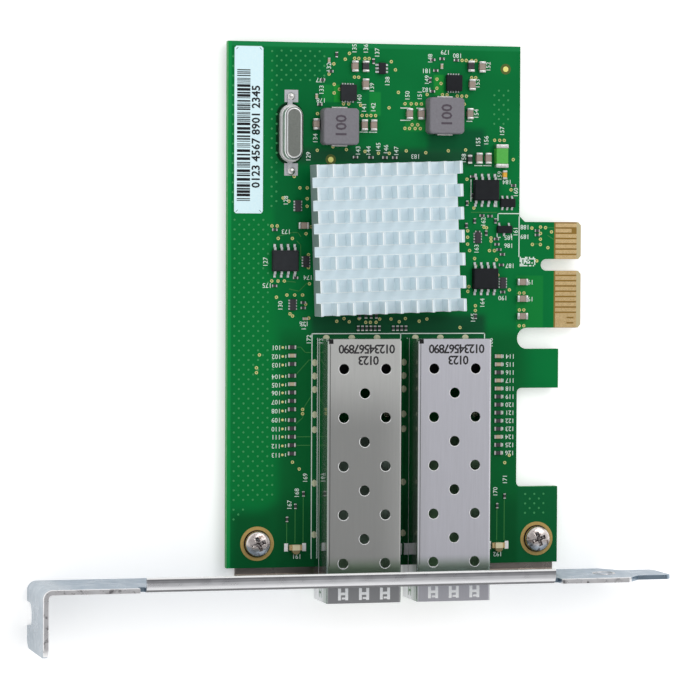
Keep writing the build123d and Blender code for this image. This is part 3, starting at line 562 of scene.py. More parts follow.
finish_nodes = {
    "laminate": ["circuit_board"],
    "gold": ["edge_contacts", "status_light_ends"] + [f"{side}_receptacle_contacts" for side in sides],
    "rubbed_gold": ["ground_rings"],
    "bracket": ["mounting_bracket"],
    "screw": ["bracket_screws"],
    "cage": [f"{side}_cage_{part}" for side in sides for part in ("cover", "floor")],
    "black": [f"{side}_receptacle" for side in sides],
    "sink": ["heat_sink"],
    "pad": ["thermal_pad"],
    "crystal": ["crystal_can"],
    "land": ["crystal_leads"],
    "choke": ["choke_bodies"],
    "epoxy": ["controller_chip", "switcher_bodies", "transistor_bodies"],
    "solder": ["switcher_pads", "transistor_leads", "resistor_array_ends"],
    "pale": ["status_light_bases"],
    "resin": ["status_light_lenses"],
    "paper": ["paper_label"],
    "green_part": ["tall_capacitor_body"],
    "yellow_part": ["yellow_capacitor_body"],
    "ceramic": ["capacitor_bodies"],
    "glaze": ["large_resistor_bodies", "resistor_array_bodies"],
    "row": ["small_chip_bodies"],
    "tin": ["crystal_base", "choke_terminals", "tall_capacitor_ends", "yellow_capacitor_ends"],
}
for chip in ("memory_chip", "upper_regulator", "lower_regulator"):
    finish_nodes["epoxy"].append(f"{chip}_body")
    finish_nodes["solder"].append(f"{chip}_leads")
for chip in ("capacitor", "large_resistor", "small_chip"):
    finish_nodes["tin"].append(f"{chip}_ends")


def dress(obj, finish):
    """Gives a mesh one material, on the slot that it has or on a new one."""
    if len(obj.material_slots) == 0:
        obj.data.materials.append(materials[finish])
    for slot in obj.material_slots:
        slot.material = materials[finish]


for finish, names in finish_nodes.items():
    for node in names:
        dress(nodes[node], finish)


def only(*objs):
    """Selects these objects and nothing else."""
    bpy.ops.object.select_all(action="DESELECT")
    for obj in objs:
        obj.select_set(True)
    bpy.context.view_layer.objects.active = objs[0]


def settled(obj):
    """Puts an object's place, turn and size into its mesh."""
    only(obj)
    bpy.ops.object.transform_apply(location=True, rotation=True, scale=True)
    return obj


def joined(objs):
    """One object from several, settled at the origin."""
    only(*objs)
    if len(objs) > 1:
        bpy.ops.object.join()
    return settled(bpy.context.view_layer.objects.active)


def piece(obj, name, finish):
    """Names, dresses and seats a finished piece on the card."""
    obj.name = name
    obj.data.name = name
    dress(obj, finish)
    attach(obj, "root")
    return obj


def fresh(primitive, **settings):
    """Adds a primitive while nothing else is selected."""
    bpy.ops.object.select_all(action="DESELECT")
    primitive(**settings)
    return bpy.context.object


def rounded(obj, width, segments=1, angle=30):
    """Rounds the edges that turn by more than an angle in degrees."""
    only(obj)
    bevel = obj.modifiers.new("edge_round", "BEVEL")
    bevel.width = width * MM
    bevel.segments = segments
    bevel.limit_method = "ANGLE"
    bevel.angle_limit = math.radians(angle)
    bpy.ops.object.modifier_apply(modifier="edge_round")
    return obj


def copies(template, places):
    """Copies of a template modelled at the origin, each with its own mesh; the template goes."""
    made = []
    for place in places:
        twin = template.copy()
        twin.data = template.data.copy()
        twin.location = Vector(place) * MM
        bpy.context.scene.collection.objects.link(twin)
        made.append(twin)
    bpy.data.objects.remove(template)
    return made


def on_board(places, rise=0.0):
    """Places on the board's upper face, from X and Y."""
    return [(x, y, board_top + rise) for x, y in places]


def slab(x, y, z, length, width, height, turn=0.0):
    """A bar with its middle at x, y and its foot at z, turned about Z by so many degrees."""
    return fresh(
        bpy.ops.mesh.primitive_cube_add,
        size=1,
        location=Vector((x, y, z + height / 2)) * MM,
        rotation=(0, 0, math.radians(turn)),
        scale=Vector((length, width, height)) * MM,
    )


def stroke(x0, y0, x1, y1, width, z, height):
    """A bar drawn from one point to another."""
    length = math.hypot(x1 - x0, y1 - y0)
    turn = math.degrees(math.atan2(y1 - y0, x1 - x0))
    return slab((x0 + x1) / 2, (y0 + y1) / 2, z, length + width, width, height, turn)


def round_disc(radius, height, corners):
    """A disc on the origin, standing on Z = 0."""
    size = {"radius": radius * MM, "depth": height * MM, "location": (0, 0, height * MM / 2)}
    return settled(fresh(bpy.ops.mesh.primitive_cylinder_add, vertices=corners, **size))


def wire_ring(radius, wire_radius, around, across, turn=(0, 0, 0)):
    """A ring of round wire on the origin, turned about X, Y and Z by so many degrees."""
    ring = fresh(
        bpy.ops.mesh.primitive_torus_add,
        major_segments=around,
        minor_segments=across,
        major_radius=radius * MM,
        minor_radius=wire_radius * MM,
        rotation=[math.radians(angle) for angle in turn],
    )
    return settled(ring)


def sunk_face(obj, height, steps):
    """Insets the disc's upper face step by step, and moves it up or down after each: width and rise."""
    only(obj)
    bpy.ops.object.mode_set(mode="EDIT")
    bpy.ops.mesh.select_mode(type="FACE")
    bpy.ops.mesh.select_all(action="DESELECT")
    bpy.ops.object.mode_set(mode="OBJECT")
    for face in obj.data.polygons:
        face.select = face.normal.z > 0.9 and abs(face.center.z - height * MM) < 0.0002 * MM
    bpy.ops.object.mode_set(mode="EDIT")
    for width, rise in steps:
        bpy.ops.mesh.inset(thickness=width * MM)
        bpy.ops.transform.translate(value=(0, 0, rise * MM))
    bpy.ops.object.mode_set(mode="OBJECT")
    return obj


def plated_hole(radius, height, corners, wall, depth):
    """A ring with a dimple in its middle, for a plated hole."""
    return sunk_face(round_disc(radius, height, corners), height, [(wall, -depth)])


def solder_button(radius, height, corners=20):
    """A low dome of solder on a pad."""
    steps = [(radius * 0.3, height * 0.9), (radius * 0.35, height * 0.5)]
    obj = sunk_face(round_disc(radius, height, corners), height, steps)
    bpy.ops.object.shade_smooth_by_angle(angle=math.radians(60))
    return obj


def softened(node, name, width, segments, slot, finish):
    """A copy of a CAD solid, merged and with its sharp edges rounded, that stands for it."""
    source = nodes[node]
    obj = source.copy()
    obj.data = source.data.copy()
    obj.parent = None
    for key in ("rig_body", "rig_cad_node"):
        if key in obj:
            del obj[key]
    bpy.context.scene.collection.objects.link(obj)
    only(obj)
    bpy.ops.object.mode_set(mode="EDIT")
    bpy.ops.mesh.select_all(action="SELECT")
    bpy.ops.mesh.remove_doubles(threshold=0.002 * MM)
    bpy.ops.mesh.dissolve_limited(angle_limit=math.radians(1.0))
    bpy.ops.object.mode_set(mode="OBJECT")
    rounded(obj, width, segments, 25)
    bpy.ops.object.shade_smooth_by_angle(angle=math.radians(35))
    evened = obj.modifiers.new("even_shading", "WEIGHTED_NORMAL")
    evened.keep_sharp = True
    bpy.ops.object.modifier_apply(modifier="even_shading")
    piece(obj, name, finish)
    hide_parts(node)
    return obj


# Solids whose edges catch the light: node, new name, edge radius, steps, slot, finish
soft_edges = [
    ("heat_sink", "sawn_heat_sink", 0.07, 1, "anodised_aluminium", "sink"),
    ("choke_bodies", "rounded_choke_bodies", 0.1, 2, "choke_ferrite", "choke"),
    ("crystal_can", "drawn_crystal_can", 0.08, 2, "crystal_steel", "crystal"),
    ("mounting_bracket", "pressed_bracket", 0.1, 2, "plated_sheet", "bracket"),
    ("memory_chip_body", "moulded_memory_chip", 0.05, 1, "moulded_epoxy", "epoxy"),
    ("upper_regulator_body", "moulded_upper_regulator", 0.05, 1, "moulded_epoxy", "epoxy"),
    ("lower_regulator_body", "moulded_lower_regulator", 0.05, 1, "moulded_epoxy", "epoxy"),
    ("switcher_bodies", "moulded_switchers", 0.05, 1, "moulded_epoxy", "epoxy"),
    ("transistor_bodies", "moulded_transistors", 0.05, 1, "moulded_epoxy", "epoxy"),
    ("tall_capacitor_body", "coated_tall_capacitor", 0.12, 2, "green_film", "green_part"),
    ("tall_capacitor_ends", "tall_capacitor_caps", 0.12, 2, "tinned_copper", "tin"),
    ("capacitor_bodies", "rounded_capacitors", 0.08, 1, "ceramic", "ceramic"),
    ("capacitor_ends", "rounded_capacitor_caps", 0.1, 2, "tinned_copper", "tin"),
    ("large_resistor_bodies", "rounded_large_resistors", 0.06, 1, "resistor_glaze", "glaze"),
    ("large_resistor_ends", "rounded_large_resistor_caps", 0.08, 2, "tinned_copper", "tin"),
    ("small_chip_bodies", "rounded_small_chips", 0.04, 1, "ceramic", "row"),
    ("small_chip_ends", "rounded_small_chip_caps", 0.06, 1, "tinned_copper", "tin"),
    ("resistor_array_bodies", "rounded_arrays", 0.05, 1, "resistor_glaze", "glaze"),
    ("yellow_capacitor_body", "rounded_yellow_capacitor", 0.06, 1, "tantalum_resin", "yellow_part"),
    ("yellow_capacitor_ends", "yellow_capacitor_caps", 0.06, 1, "tinned_copper", "tin"),
]
for edges in soft_edges:
    softened(*edges)

# Legend ink, plating and mask stand this far above the board, in steps so that none share a plane
ink_height = 0.03
plating_height = 0.04
mask_height = 0.012


# Ground stitching: rows of mask-covered plated holes, every second row shifted by half a pitch
stitch_pitch = 1.82
stitch_row = 0.895
stitch_radius = 0.2
stitched_areas = [
    (8.3, 8.4, 69.8, 98.6),
    (10.1, 18.5, 93.2, 98.6),
    (58.0, 62.3, 12.0, 15.6),
    (51.4, 54.6, 85.6, 92.0),
]


def stitched(x0, x1, y0, y1):
    """Staggered places inside a rectangle."""
    places = []
    for row in range(int((y1 - y0) / stitch_row + 0.001) + 1):
        start = x0 + (row % 2) * stitch_pitch / 2
        columns = int((x1 - start) / stitch_pitch + 0.001) + 1
        places += [(start + i * stitch_pitch, y0 + row * stitch_row) for i in range(columns)]
    return places


def stitching():
    places = stitched(1.3, 7.7, 15.3, 67.6)
    places += [(1.3, 11.7), (2.2, 12.6), (3.1, 13.5), (1.3, 13.5)]
    places += [(8.65, y) for y in (16.2, 18.0, 19.8, 21.6, 37.7, 39.5, 41.3, 43.1)]
    places += [(0.95, 70.5 + i * 1.79) for i in range(16)]
    for area in stitched_areas:
        places += stitched(*area)
    template = plated_hole(stitch_radius, mask_height + 0.02, 10, 0.08, 0.012)
    piece(joined(copies(template, on_board(places))), "stitching_holes", "tented")


stitching()


# Open plated holes along the copper areas
open_holes = [
    (6.1, 42.2), (5.55, 39.8), (5.55, 38.9), (14.4, 32.0), (14.4, 31.2), (12.6, 75.3), (13.7, 73.2),
    (15.1, 73.2), (10.5, 71.3), (11.6, 70.7), (15.1, 71.2), (15.1, 69.8), (8.4, 66.1), (9.4, 66.1),
    (9.6, 63.8), (12.3, 63.8), (13.2, 60.6), (13.2, 59.0), (13.0, 57.9), (8.4, 55.9), (9.6, 55.9),
    (10.8, 55.9), (11.3, 53.3), (12.8, 53.3), (14.3, 53.3), (12.4, 49.4), (15.5, 49.0), (25.2, 48.9),
    (26.5, 48.2), (27.4, 48.2), (28.5, 48.2), (29.2, 48.8), (19.2, 94.4), (20.1, 96.3), (24.1, 97.4),
    (24.9, 97.4), (26.1, 97.4), (26.9, 97.4), (24.1, 93.9), (24.9, 93.9), (20.2, 92.5), (20.2, 90.9),
    (21.2, 91.6), (22.0, 88.9), (23.0, 88.9), (25.3, 88.7), (25.6, 86.8), (26.5, 86.8), (27.3, 86.8),
    (28.2, 86.8), (17.0, 87.0), (17.8, 87.0), (20.0, 80.9), (28.8, 79.8), (30.9, 79.8), (33.9, 89.1),
    (35.1, 89.1), (36.1, 89.1), (37.1, 89.1), (33.9, 84.5), (34.8, 84.5), (35.9, 84.5), (36.9, 84.5),
    (35.3, 85.2), (36.4, 85.2), (38.2, 90.9), (38.9, 90.0), (40.1, 93.8), (40.1, 92.1), (40.9, 93.0),
    (41.2, 90.9), (42.1, 90.9), (44.1, 90.7), (45.0, 90.7), (45.9, 90.7), (45.5, 89.2), (45.0, 97.4),
    (45.8, 97.4), (46.9, 97.4), (47.7, 97.4), (46.9, 94.2), (47.7, 94.2), (45.8, 80.6), (51.5, 82.5),
    (52.5, 82.5), (53.4, 82.5), (46.2, 70.7), (46.3, 65.4), (46.3, 64.2), (46.3, 62.9), (46.7, 61.7),
    (50.0, 66.0), (50.9, 64.1), (50.9, 63.5), (50.6, 61.7), (51.6, 61.7), (52.0, 60.0), (51.5, 57.1),
    (52.3, 57.1), (46.6, 54.9), (46.4, 54.0), (59.0, 66.0), (60.7, 66.2), (60.7, 65.0), (61.7, 66.1),
    (60.7, 63.9), (60.7, 62.9), (59.1, 62.9), (62.2, 62.3), (46.1, 75.1), (47.5, 69.7), (49.5, 66.1),
    (47.7, 60.2), (47.9, 58.8), (47.9, 51.3), (47.9, 50.4), (44.9, 47.2), (56.6, 53.7), (57.5, 53.7),
    (56.6, 50.5), (57.5, 50.5), (56.6, 47.5), (57.5, 47.5), (62.9, 65.3), (15.9, 66.0), (14.9, 64.7),
    (15.4, 60.8), (15.4, 58.4), (15.6, 55.4), (14.9, 51.6), (11.9, 49.8), (9.3, 52.9), (20.9, 48.4),
    (22.3, 48.9), (23.3, 48.3), (31.4, 48.8), (33.0, 48.3), (34.2, 48.9), (36.9, 48.4), (38.4, 48.8),
    (22.3, 97.2), (23.1, 98.3), (31.2, 96.9), (32.0, 95.4), (32.6, 91.2), (30.8, 88.3), (17.0, 80.2),
    (22.6, 80.4), (26.2, 80.1), (34.2, 80.3), (38.0, 80.0), (42.4, 80.4), (55.2, 78.9), (54.8, 73.2),
    (60.0, 59.8), (53.6, 56.1), (54.6, 54.3), (44.4, 51.5), (53.9, 21.6), (54.8, 23.0), (12.5, 22.2),
    (13.8, 20.9),
]
gold_ring_radius = 0.31
bore_radius = 0.15


def plated_holes():
    places = on_board(open_holes)
    template = plated_hole(gold_ring_radius, plating_height, 14, 0.13, 0.035)
    piece(joined(copies(template, places)), "open_plated_holes", "ring")
    template = round_disc(bore_radius, plating_height - 0.005, 10)
    piece(joined(copies(template, places)), "hole_bores", "hole")


plated_holes()


# Optical alignment dots: bright disc in a ring bare of mask
alignment_dots = [(19.6, 78.5), (53.6, 95.9)]
clearing_radius = 1.0
dot_radius = 0.52


def alignment_marks():
    places = on_board(alignment_dots)
    rings = copies(plated_hole(clearing_radius, mask_height, 28, 0.2, 0.004), places)
    piece(joined(rings), "alignment_clearings", "mask_gap")
    dots = copies(plated_hole(dot_radius, plating_height, 24, 0.1, -0.01), places)
    piece(joined(dots), "alignment_dots", "dot")


alignment_marks()


# Cage tops: painted highlights as leaning bright rims of the vent holes and on the slot edges at the mouth,
# and painted shade along the creased folds
vent_first_from_rear = 5.5
vent_row_pitch = 4.48
vent_rows = 9
vent_half_span = 4.0
vent_rim_radius = 1.02
vent_rim_wire = 0.06
rim_lean = (-5, 3, 0)
spring_pitch = 4.0
spring_y = cage_low.y + 1.7
# H-shaped slot: each bar's place from the middle, then its length, width and height
slot_bars = [(side * 0.69, 0, 0.56, 2.2, 0.03) for side in (-1, 1)]
slot_bars += [(0, 0.1, 1.0, 0.5, 0.026), (0.1, -0.75, 0.7, 0.36, 0.022)]
fold_inset = 0.5
crease_width = 0.09
corner_size = 0.85
corner_turn = 3.0


# Painted highlights: bright wire rings leaning round the vent holes
def vent_rims():
    places = []
    for left in cage_lefts:
        for row in range(vent_rows):
            y = cage_rear - vent_first_from_rear - row * vent_row_pitch
            for across in (0,) if row % 2 else (-vent_half_span, vent_half_span):
                places.append((left + cage_width / 2 + across, y, cage_top - 0.03))
    rim = wire_ring(vent_rim_radius, vent_rim_wire, 28, 6, rim_lean)
    piece(joined(copies(rim, places)), "vent_rims", "leaf")


def slot_edges():
    """Painted highlights: bright turned edges of the H-shaped slots that free two spring leaves each."""
    strokes = []
    for left in cage_lefts:
        for step in (-1, 0, 1):
            middle = left + cage_width / 2 + step * spring_pitch
            strokes += [slab(middle + x, spring_y + y, cage_top, *size) for x, y, *size in slot_bars]
    piece(rounded(joined(strokes), 0.008), "slot_edges", "leaf")


def fold_lines():
    """Painted shade: a dark crease line along the left fold of each top, and a dark square over the open
    corner at its rear.
    """
    marks = []
    for left in cage_lefts:
        x = left + fold_inset
        marks.append(stroke(x, board_low.y + 1.0, x, cage_rear - 1.0, crease_width, cage_top, 0.012))
        marks.append(slab(x + 0.12, cage_rear - 0.45, cage_top, corner_size, corner_size, 0.016, corner_turn))
    piece(rounded(joined(marks), 0.004), "fold_lines", "shade")


# Shallow round mark stamped in the bracket's tongue, seen as a fine ring
stamp_place = (71.6, 0.86, 6.4)
stamp_radius = 2.1
stamp_wire = 0.07


def stamped_ring():
    ring = wire_ring(stamp_radius, stamp_wire, 40, 8, (90, 0, 0))
    piece(joined(copies(ring, [stamp_place])), "stamped_ring", "screw")


vent_rims()
slot_edges()
fold_lines()
stamped_ring()


# Solder: pads round the cage pins on both faces, and blobs on the crystal's leads
wall_pad_places = [40.7, 38.2, 35.7, 31.0, 28.2, 18.2, 8.6]
wall_pad_radius = 0.66
rear_pad_pitch = 4.9
pad_overlap = 0.12
underside_pad_height = 0.12
crystal_lead_ends = [(11.9, 90.1), (12.0, 76.3)]
crystal_blob_radius = 0.75
crystal_blob_height = 0.22


def cage_pad_places():
    places = []
    for left in cage_lefts:
        for y in wall_pad_places:
            places.append((left + pad_overlap, y))
            places.append((left + cage_width - pad_overlap, y))
        for step in (-1, 0, 1):
            places.append((left + cage_width / 2 + step * rear_pad_pitch, cage_rear - pad_overlap))
    return places


def cage_pads():
    places = cage_pad_places()
    top = copies(solder_button(wall_pad_radius, plating_height), on_board(places))
    piece(joined(top), "cage_pads_top", "dull_tin")
    template = solder_button(wall_pad_radius, underside_pad_height)
    template.rotation_euler = (math.pi, 0, 0)
    low = copies(settled(template), [(x, y, board_bottom) for x, y in places])
    piece(joined(low), "cage_pads_underside", "tin")


def crystal_solder():
    """A round blob where each crystal lead is soldered."""
    blob = solder_button(crystal_blob_radius, crystal_blob_height)
    blobs = copies(blob, on_board(crystal_lead_ends, plating_height))
    piece(joined(blobs), "crystal_solder", "tin")


cage_pads()
crystal_solder()


# Flat tinned lands, each a place and size: the crystal's, then the cage gap's and the status lights'
crystal_lands = [(12.0, y, 2.6, 2.3) for y in (90.2, 76.6)]
front_lands = [(32.45, 5.6, 2.6, 2.2)]
front_lands += [(x, y, 0.75, 1.5) for x, y in ((11.35, 6.3), (14.8, 6.3), (50.9, 6.0), (54.35, 6.0))]


def tin_pads():
    for lands, name, finish in (
        (crystal_lands, "tinned_lands", "land"),
        (front_lands, "light_lands", "leaf"),
    ):
        pads = [slab(x, y, board_top, length, width, plating_height) for x, y, length, width in lands]
        piece(rounded(joined(pads), 0.02), name, finish)


tin_pads()


# Copper runs that show through the mask: straight strokes from point to point
trace_width = 0.16
trace_runs = [
    [(13.2, 43.6), (14.0, 43.6), (14.9, 42.6), (16.3, 42.6)],
    [(13.2, 38.6), (15.6, 41.2), (16.4, 41.2)],
    [(13.2, 26.9), (16.3, 26.9)],
    [(13.2, 25.3), (16.3, 25.3)],
    [(13.2, 29.4), (14.4, 30.4), (14.8, 32.6), (16.0, 34.4)],
    [(11.45, 11.0), (11.45, 7.2)],
    [(13.05, 13.4), (13.05, 7.2)],
    [(14.6, 15.7), (14.6, 7.2)],
    [(52.4, 12.9), (52.4, 7.0)],
    [(53.85, 14.7), (53.85, 7.0)],
    [(13.2, 63.3), (13.9, 62.6), (13.9, 60.0)],
    [(9.6, 64.2), (12.2, 64.9), (13.4, 64.9), (13.9, 64.2)],
    [(11.8, 54.4), (13.6, 54.0), (15.2, 55.6)],
    [(10.8, 55.9), (12.9, 55.7)],
    [(59.1, 63.0), (60.7, 63.0)],
    [(61.7, 66.1), (63.3, 66.1)],
    [(62.2, 64.6), (63.3, 63.9)],
    [(50.9, 63.1), (50.9, 61.8), (53.0, 61.8)],
    [(47.0, 68.9), (52.0, 68.9)],
]


def copper_runs():
    parts = []
    for run in trace_runs:
        for start, end in zip(run, run[1:]):
            parts.append(stroke(*start, *end, trace_width, board_top, mask_height))
    piece(joined(parts), "copper_runs", "trace")


copper_runs()


# White legend: outlines as strokes, and plain running numbers beside the parts
outline_width = 0.17
outlines = [
    (16.15, 4.2, 16.15, 46.1),
    (16.15, 46.1, 49.75, 46.1),
    (49.75, 46.1, 49.75, 44.9),
    (33.3, 46.1, 33.3, 45.2),
    (52.25, 68.7, 56.4, 68.7),
    (52.25, 68.7, 52.25, 67.4),
    (56.45, 68.1, 56.45, 60.6),
    (52.1, 65.9, 52.1, 64.2),
    (52.1, 64.2, 52.7, 64.2),
    (54.9, 64.2, 54.9, 64.8),
    (46.9, 75.0, 46.9, 71.0),
    (52.0, 72.4, 52.0, 70.0),
    (33.1, 88.3, 34.9, 88.3),
    (33.1, 86.0, 34.9, 86.0),
    (36.2, 88.3, 37.6, 88.3),
    (46.0, 86.0, 47.0, 86.0),
    (25.2, 83.7, 26.6, 83.7),
    (27.0, 83.7, 28.4, 83.7),
    (47.6, 77.7, 49.0, 77.7),
    (49.4, 77.7, 50.8, 77.7),
]


def legend_lines():
    parts = [stroke(*line, outline_width, board_top, ink_height) for line in outlines]
    piece(joined(parts), "legend_outlines", "white_ink")


legend_lines()


def figures(entries, size, z, name, finish, spacing=1.0, stroke_trim=0.0):
    """Plain numbers made as flat meshes: each entry is the text, its middle and its turn in degrees."""
    parts = []
    for text, x, y, turn in entries:
        place = Vector((x, y, z)) * MM
        obj = fresh(bpy.ops.object.text_add, location=place, rotation=(0, 0, math.radians(turn)))
        obj.data.body = text
        obj.data.size = size * MM
        obj.data.space_character = spacing
        obj.data.align_x = "CENTER"
        obj.data.align_y = "CENTER"
        obj.data.resolution_u = 2
        obj.data.extrude = ink_height / 2 * MM
        obj.data.offset = (0.02 * size - stroke_trim) * MM
        bpy.ops.object.convert(target="MESH")
        parts.append(bpy.context.object)
    piece(joined(parts), name, finish)


left_column = [43.56, 41.89, 40.3, 38.17, 36.59, 35.11, 33.43, 31.76, 30.08, 28.41, 26.92, 25.24, 23.57]
right_column = [right_row_top - i * row_pitch for i in range(13)]
upright_marks = [
    (7.22, 59.4), (11.07, 70.8), (15.33, 79.0), (10.1, 51.3), (14.6, 47.6), (19.2, 95.6), (17.8, 91.4),
    (16.66, 82.4), (24.1, 99.2), (26.3, 99.2), (28.5, 98.5), (30.5, 93.2), (27.5, 92.0), (25.1, 89.8),
    (26.0, 88.2), (27.8, 88.3), (24.9, 80.2), (26.9, 80.2), (28.8, 80.9), (30.3, 80.5), (32.3, 80.2),
    (38.8, 97.6), (38.2, 93.6), (34.4, 90.6), (36.8, 90.7), (50.2, 96.3), (48.1, 93.1), (47.9, 87.4),
    (48.3, 82.1), (49.9, 82.4), (53.0, 84.2), (45.5, 79.0), (52.6, 75.8), (55.8, 72.7), (55.8, 65.3),
    (49.4, 67.1), (48.1, 62.0), (49.3, 51.8), (47.5, 49.0), (51.0, 44.3), (12.0, 14.2), (13.4, 16.4),
    (15.0, 19.2), (52.1, 16.1), (54.0, 18.4), (15.6, 45.0),
]
level_marks = [
    (11.1, 65.1), (15.35, 56.6), (7.5, 55.1), (14.6, 48.0), (17.6, 93.3), (17.7, 89.5), (41.7, 98.9),
    (44.1, 98.3), (38.05, 95.35), (38.1, 91.8), (36.0, 79.3), (54.0, 74.7), (54.4, 64.2), (54.4, 62.7),
    (54.7, 58.9), (57.6, 66.2), (57.6, 64.4), (53.3, 52.8), (13.4, 4.6), (52.6, 4.3), (58.5, 55.8),
    (58.5, 52.6),
]
left_number_x, left_hole_x, left_tick_x = 9.35, 10.55, 11.15
right_tick_x, right_number_x = 53.45, 54.85
first_number = 101
number_size = 1.22
number_trim = 0.022
left_tick = (0.13, 0.6, ink_height)
right_tick = (0.14, 0.6, ink_height)
row_hole_radius = 0.24


def running_numbers():
    """Three-figure numbers that count up along the board."""
    entries = []
    for x, ys in ((left_number_x, left_column), (right_number_x, right_column)):
        entries += [(x, y, 180) for y in ys]
    entries += [(x, y, 90) for x, y in upright_marks]
    entries += [(x, y, 180) for x, y in level_marks]
    numbered = [(str(first_number + i), *entry) for i, entry in enumerate(entries)]
    height = board_top + ink_height / 2
    figures(numbered, number_size, height, "legend_numbers", "white_ink", stroke_trim=number_trim)


running_numbers()


def row_ticks():
    """A plated hole and an ink tick lead to each part of the left row, and a tick to the right row's."""
    ticks = [slab(left_tick_x, y, board_top, *left_tick) for y in left_column]
    ticks += [slab(right_tick_x, y, board_top, *right_tick) for y in right_column]
    piece(joined(ticks), "legend_ticks", "white_ink")
    template = plated_hole(row_hole_radius, plating_height, 12, 0.1, 0.03)
    holes = copies(template, on_board([(left_hole_x, y) for y in left_column]))
    piece(joined(holes), "row_plated_holes", "ring")


row_ticks()


# Printed code block by the key notch: a chequer of seeded cells
code_cell = 0.26
code_corner = (56.6, 58.75)
code_size = (3.3, 2.0)
code_share = 0.55


def code_block():
    draw = random.Random(7)
    cells = []
    columns, rows = int(code_size[0] / code_cell), int(code_size[1] / code_cell)
    for i in range(columns):
        for j in range(rows):
            if draw.random() < code_share:
                x = code_corner[0] + (i + 0.5) * code_cell
                y = code_corner[1] + (j + 0.5) * code_cell
                cells.append(slab(x, y, board_top, code_cell * 0.9, code_cell * 0.9, ink_height))
    piece(joined(cells), "legend_chequer", "white_ink")


code_block()


# Label print: a seeded run of bars, a row of counting figures and small corner marks
label_low, label_high = box("paper_label")
bars_from, bars_to = label_low.y + 2.3, label_high.y - 4.3
bars_x = label_low.x + 1.75
bars_width = 2.5
print_height = ink_height / 2
bar_widths = (0.14, 0.14, 0.2, 0.3, 0.5)
gap_widths = (0.12, 0.16, 0.2, 0.34)
label_figure_size = 2.15


def label_print():
    draw = random.Random(3)
    bars = []
    y = bars_from
    while y < bars_to:
        bar = draw.choice(bar_widths)
        bars.append(slab(bars_x, y + bar / 2, label_high.z, bars_width, bar, print_height))
        y += bar + draw.choice(gap_widths)
    for x, turn in ((label_low.x + 0.5, 45), (label_high.x - 0.5, -45)):
        for y in (label_low.y + 0.45, label_high.y - 0.45):
            bars.append(slab(x, y, label_high.z, 0.5, 0.09, print_height, turn))
    piece(joined(bars), "label_bars", "black_ink")
    count = [("0123 4567 8901 2345", label_high.x - 1.3, label_low.y + 14.2, 90)]
    height = label_high.z + print_height
    figures(count, label_figure_size, height, "label_figures", "black_ink")


label_print()


# Figures on the chokes and on the cages
choke_value_places = [(20.9, 84.6), (41.3, 86.9)]
choke_figure_size = 2.9
cage_figure_size = 2.3


def part_figures():
    """Plain values stamped on the chokes, and counting figures on the cages' tops."""
    top = box("choke_bodies")[1].z
    entries = [("100", x, y, 90) for x, y in choke_value_places]
    figures(entries, choke_figure_size, top + 0.005, "choke_values", "grey_ink")
    entries = []
    for left in cage_lefts:
        middle = left + cage_width / 2
        entries.append(("01234567890", middle + 0.3, cage_rear - 1.75, 180))
        entries.append(("0123", middle + 0.6, cage_rear - 3.85, 180))
    height = cage_top + 0.012
    figures(entries, cage_figure_size, height, "cage_figures", "dark_ink", spacing=0.84)


part_figures()


# Tiny two-ended parts round the switching regulators and under the heat sink's edges: place and turn
tiny_parts = [
    (19.15, 96.9, 90), (19.5, 94.9, 0), (17.9, 93.3, 0), (16.8, 90.2, 90), (17.4, 88.7, 0),
    (20.6, 98.0, 90), (27.7, 96.9, 90), (39.2, 97.4, 0), (41.0, 97.6, 0), (43.8, 97.4, 0), (41.0, 96.2, 90),
    (39.8, 95.4, 0), (38.7, 93.6, 90), (39.2, 91.5, 0), (24.3, 79.0, 0), (27.3, 79.0, 0), (30.0, 79.0, 0),
    (31.9, 79.0, 0), (8.9, 65.4, 0), (12.9, 56.5, 0), (8.9, 55.0, 0), (14.4, 51.9, 0), (14.4, 50.9, 0),
    (14.8, 48.9, 0), (47.1, 75.6, 0), (47.2, 72.0, 90), (49.0, 68.3, 0), (50.6, 68.2, 0), (49.9, 65.0, 90),
    (51.9, 63.9, 0), (52.0, 62.9, 0), (52.4, 61.9, 0), (52.9, 59.0, 0), (53.2, 53.9, 0), (47.9, 49.3, 90),
    (55.2, 74.0, 0), (25.3, 49.4, 90), (26.5, 49.4, 90), (27.5, 49.4, 90), (28.5, 49.4, 90),
    (46.1, 70.6, 90), (46.0, 66.4, 90), (48.2, 65.2, 0), (51.7, 67.3, 90), (47.6, 67.3, 90),
    (53.1, 61.0, 0),
]
tiny_pitch = 0.82
for first, count in ((25.0, 6), (31.8, 4)):
    tiny_parts += [(first + i * tiny_pitch, 47.1, 90) for i in range(count)]
tiny_length = 1.0
tiny_width = 0.5
tiny_height = 0.34


def tiny_chips():
    bodies, ends = [], []
    for x, y, turn in tiny_parts:
        along = Vector((math.cos(math.radians(turn)), math.sin(math.radians(turn)), 0))
        bodies.append(slab(x, y, board_top, tiny_length * 0.56, tiny_width * 0.92, tiny_height * 0.94, turn))
        for side in (-1, 1):
            middle = Vector((x, y, 0)) + along * side * tiny_length * 0.39
            cap = (tiny_length * 0.22, tiny_width, tiny_height)
            ends.append(slab(middle.x, middle.y, board_top, *cap, turn))
    piece(rounded(joined(bodies), 0.035), "tiny_chip_bodies", "row")
    piece(rounded(joined(ends), 0.035), "tiny_chip_caps", "tin")


tiny_chips()


# Pan head screws with rounded crowns and pressed cross recesses
screw_seat = 0.05
screw_rim = 0.35
shank_radius = 1.2
recess_half = 1.35
recess_blade = 0.36
recess_drop = 0.95
recess_turns = (20, 110)


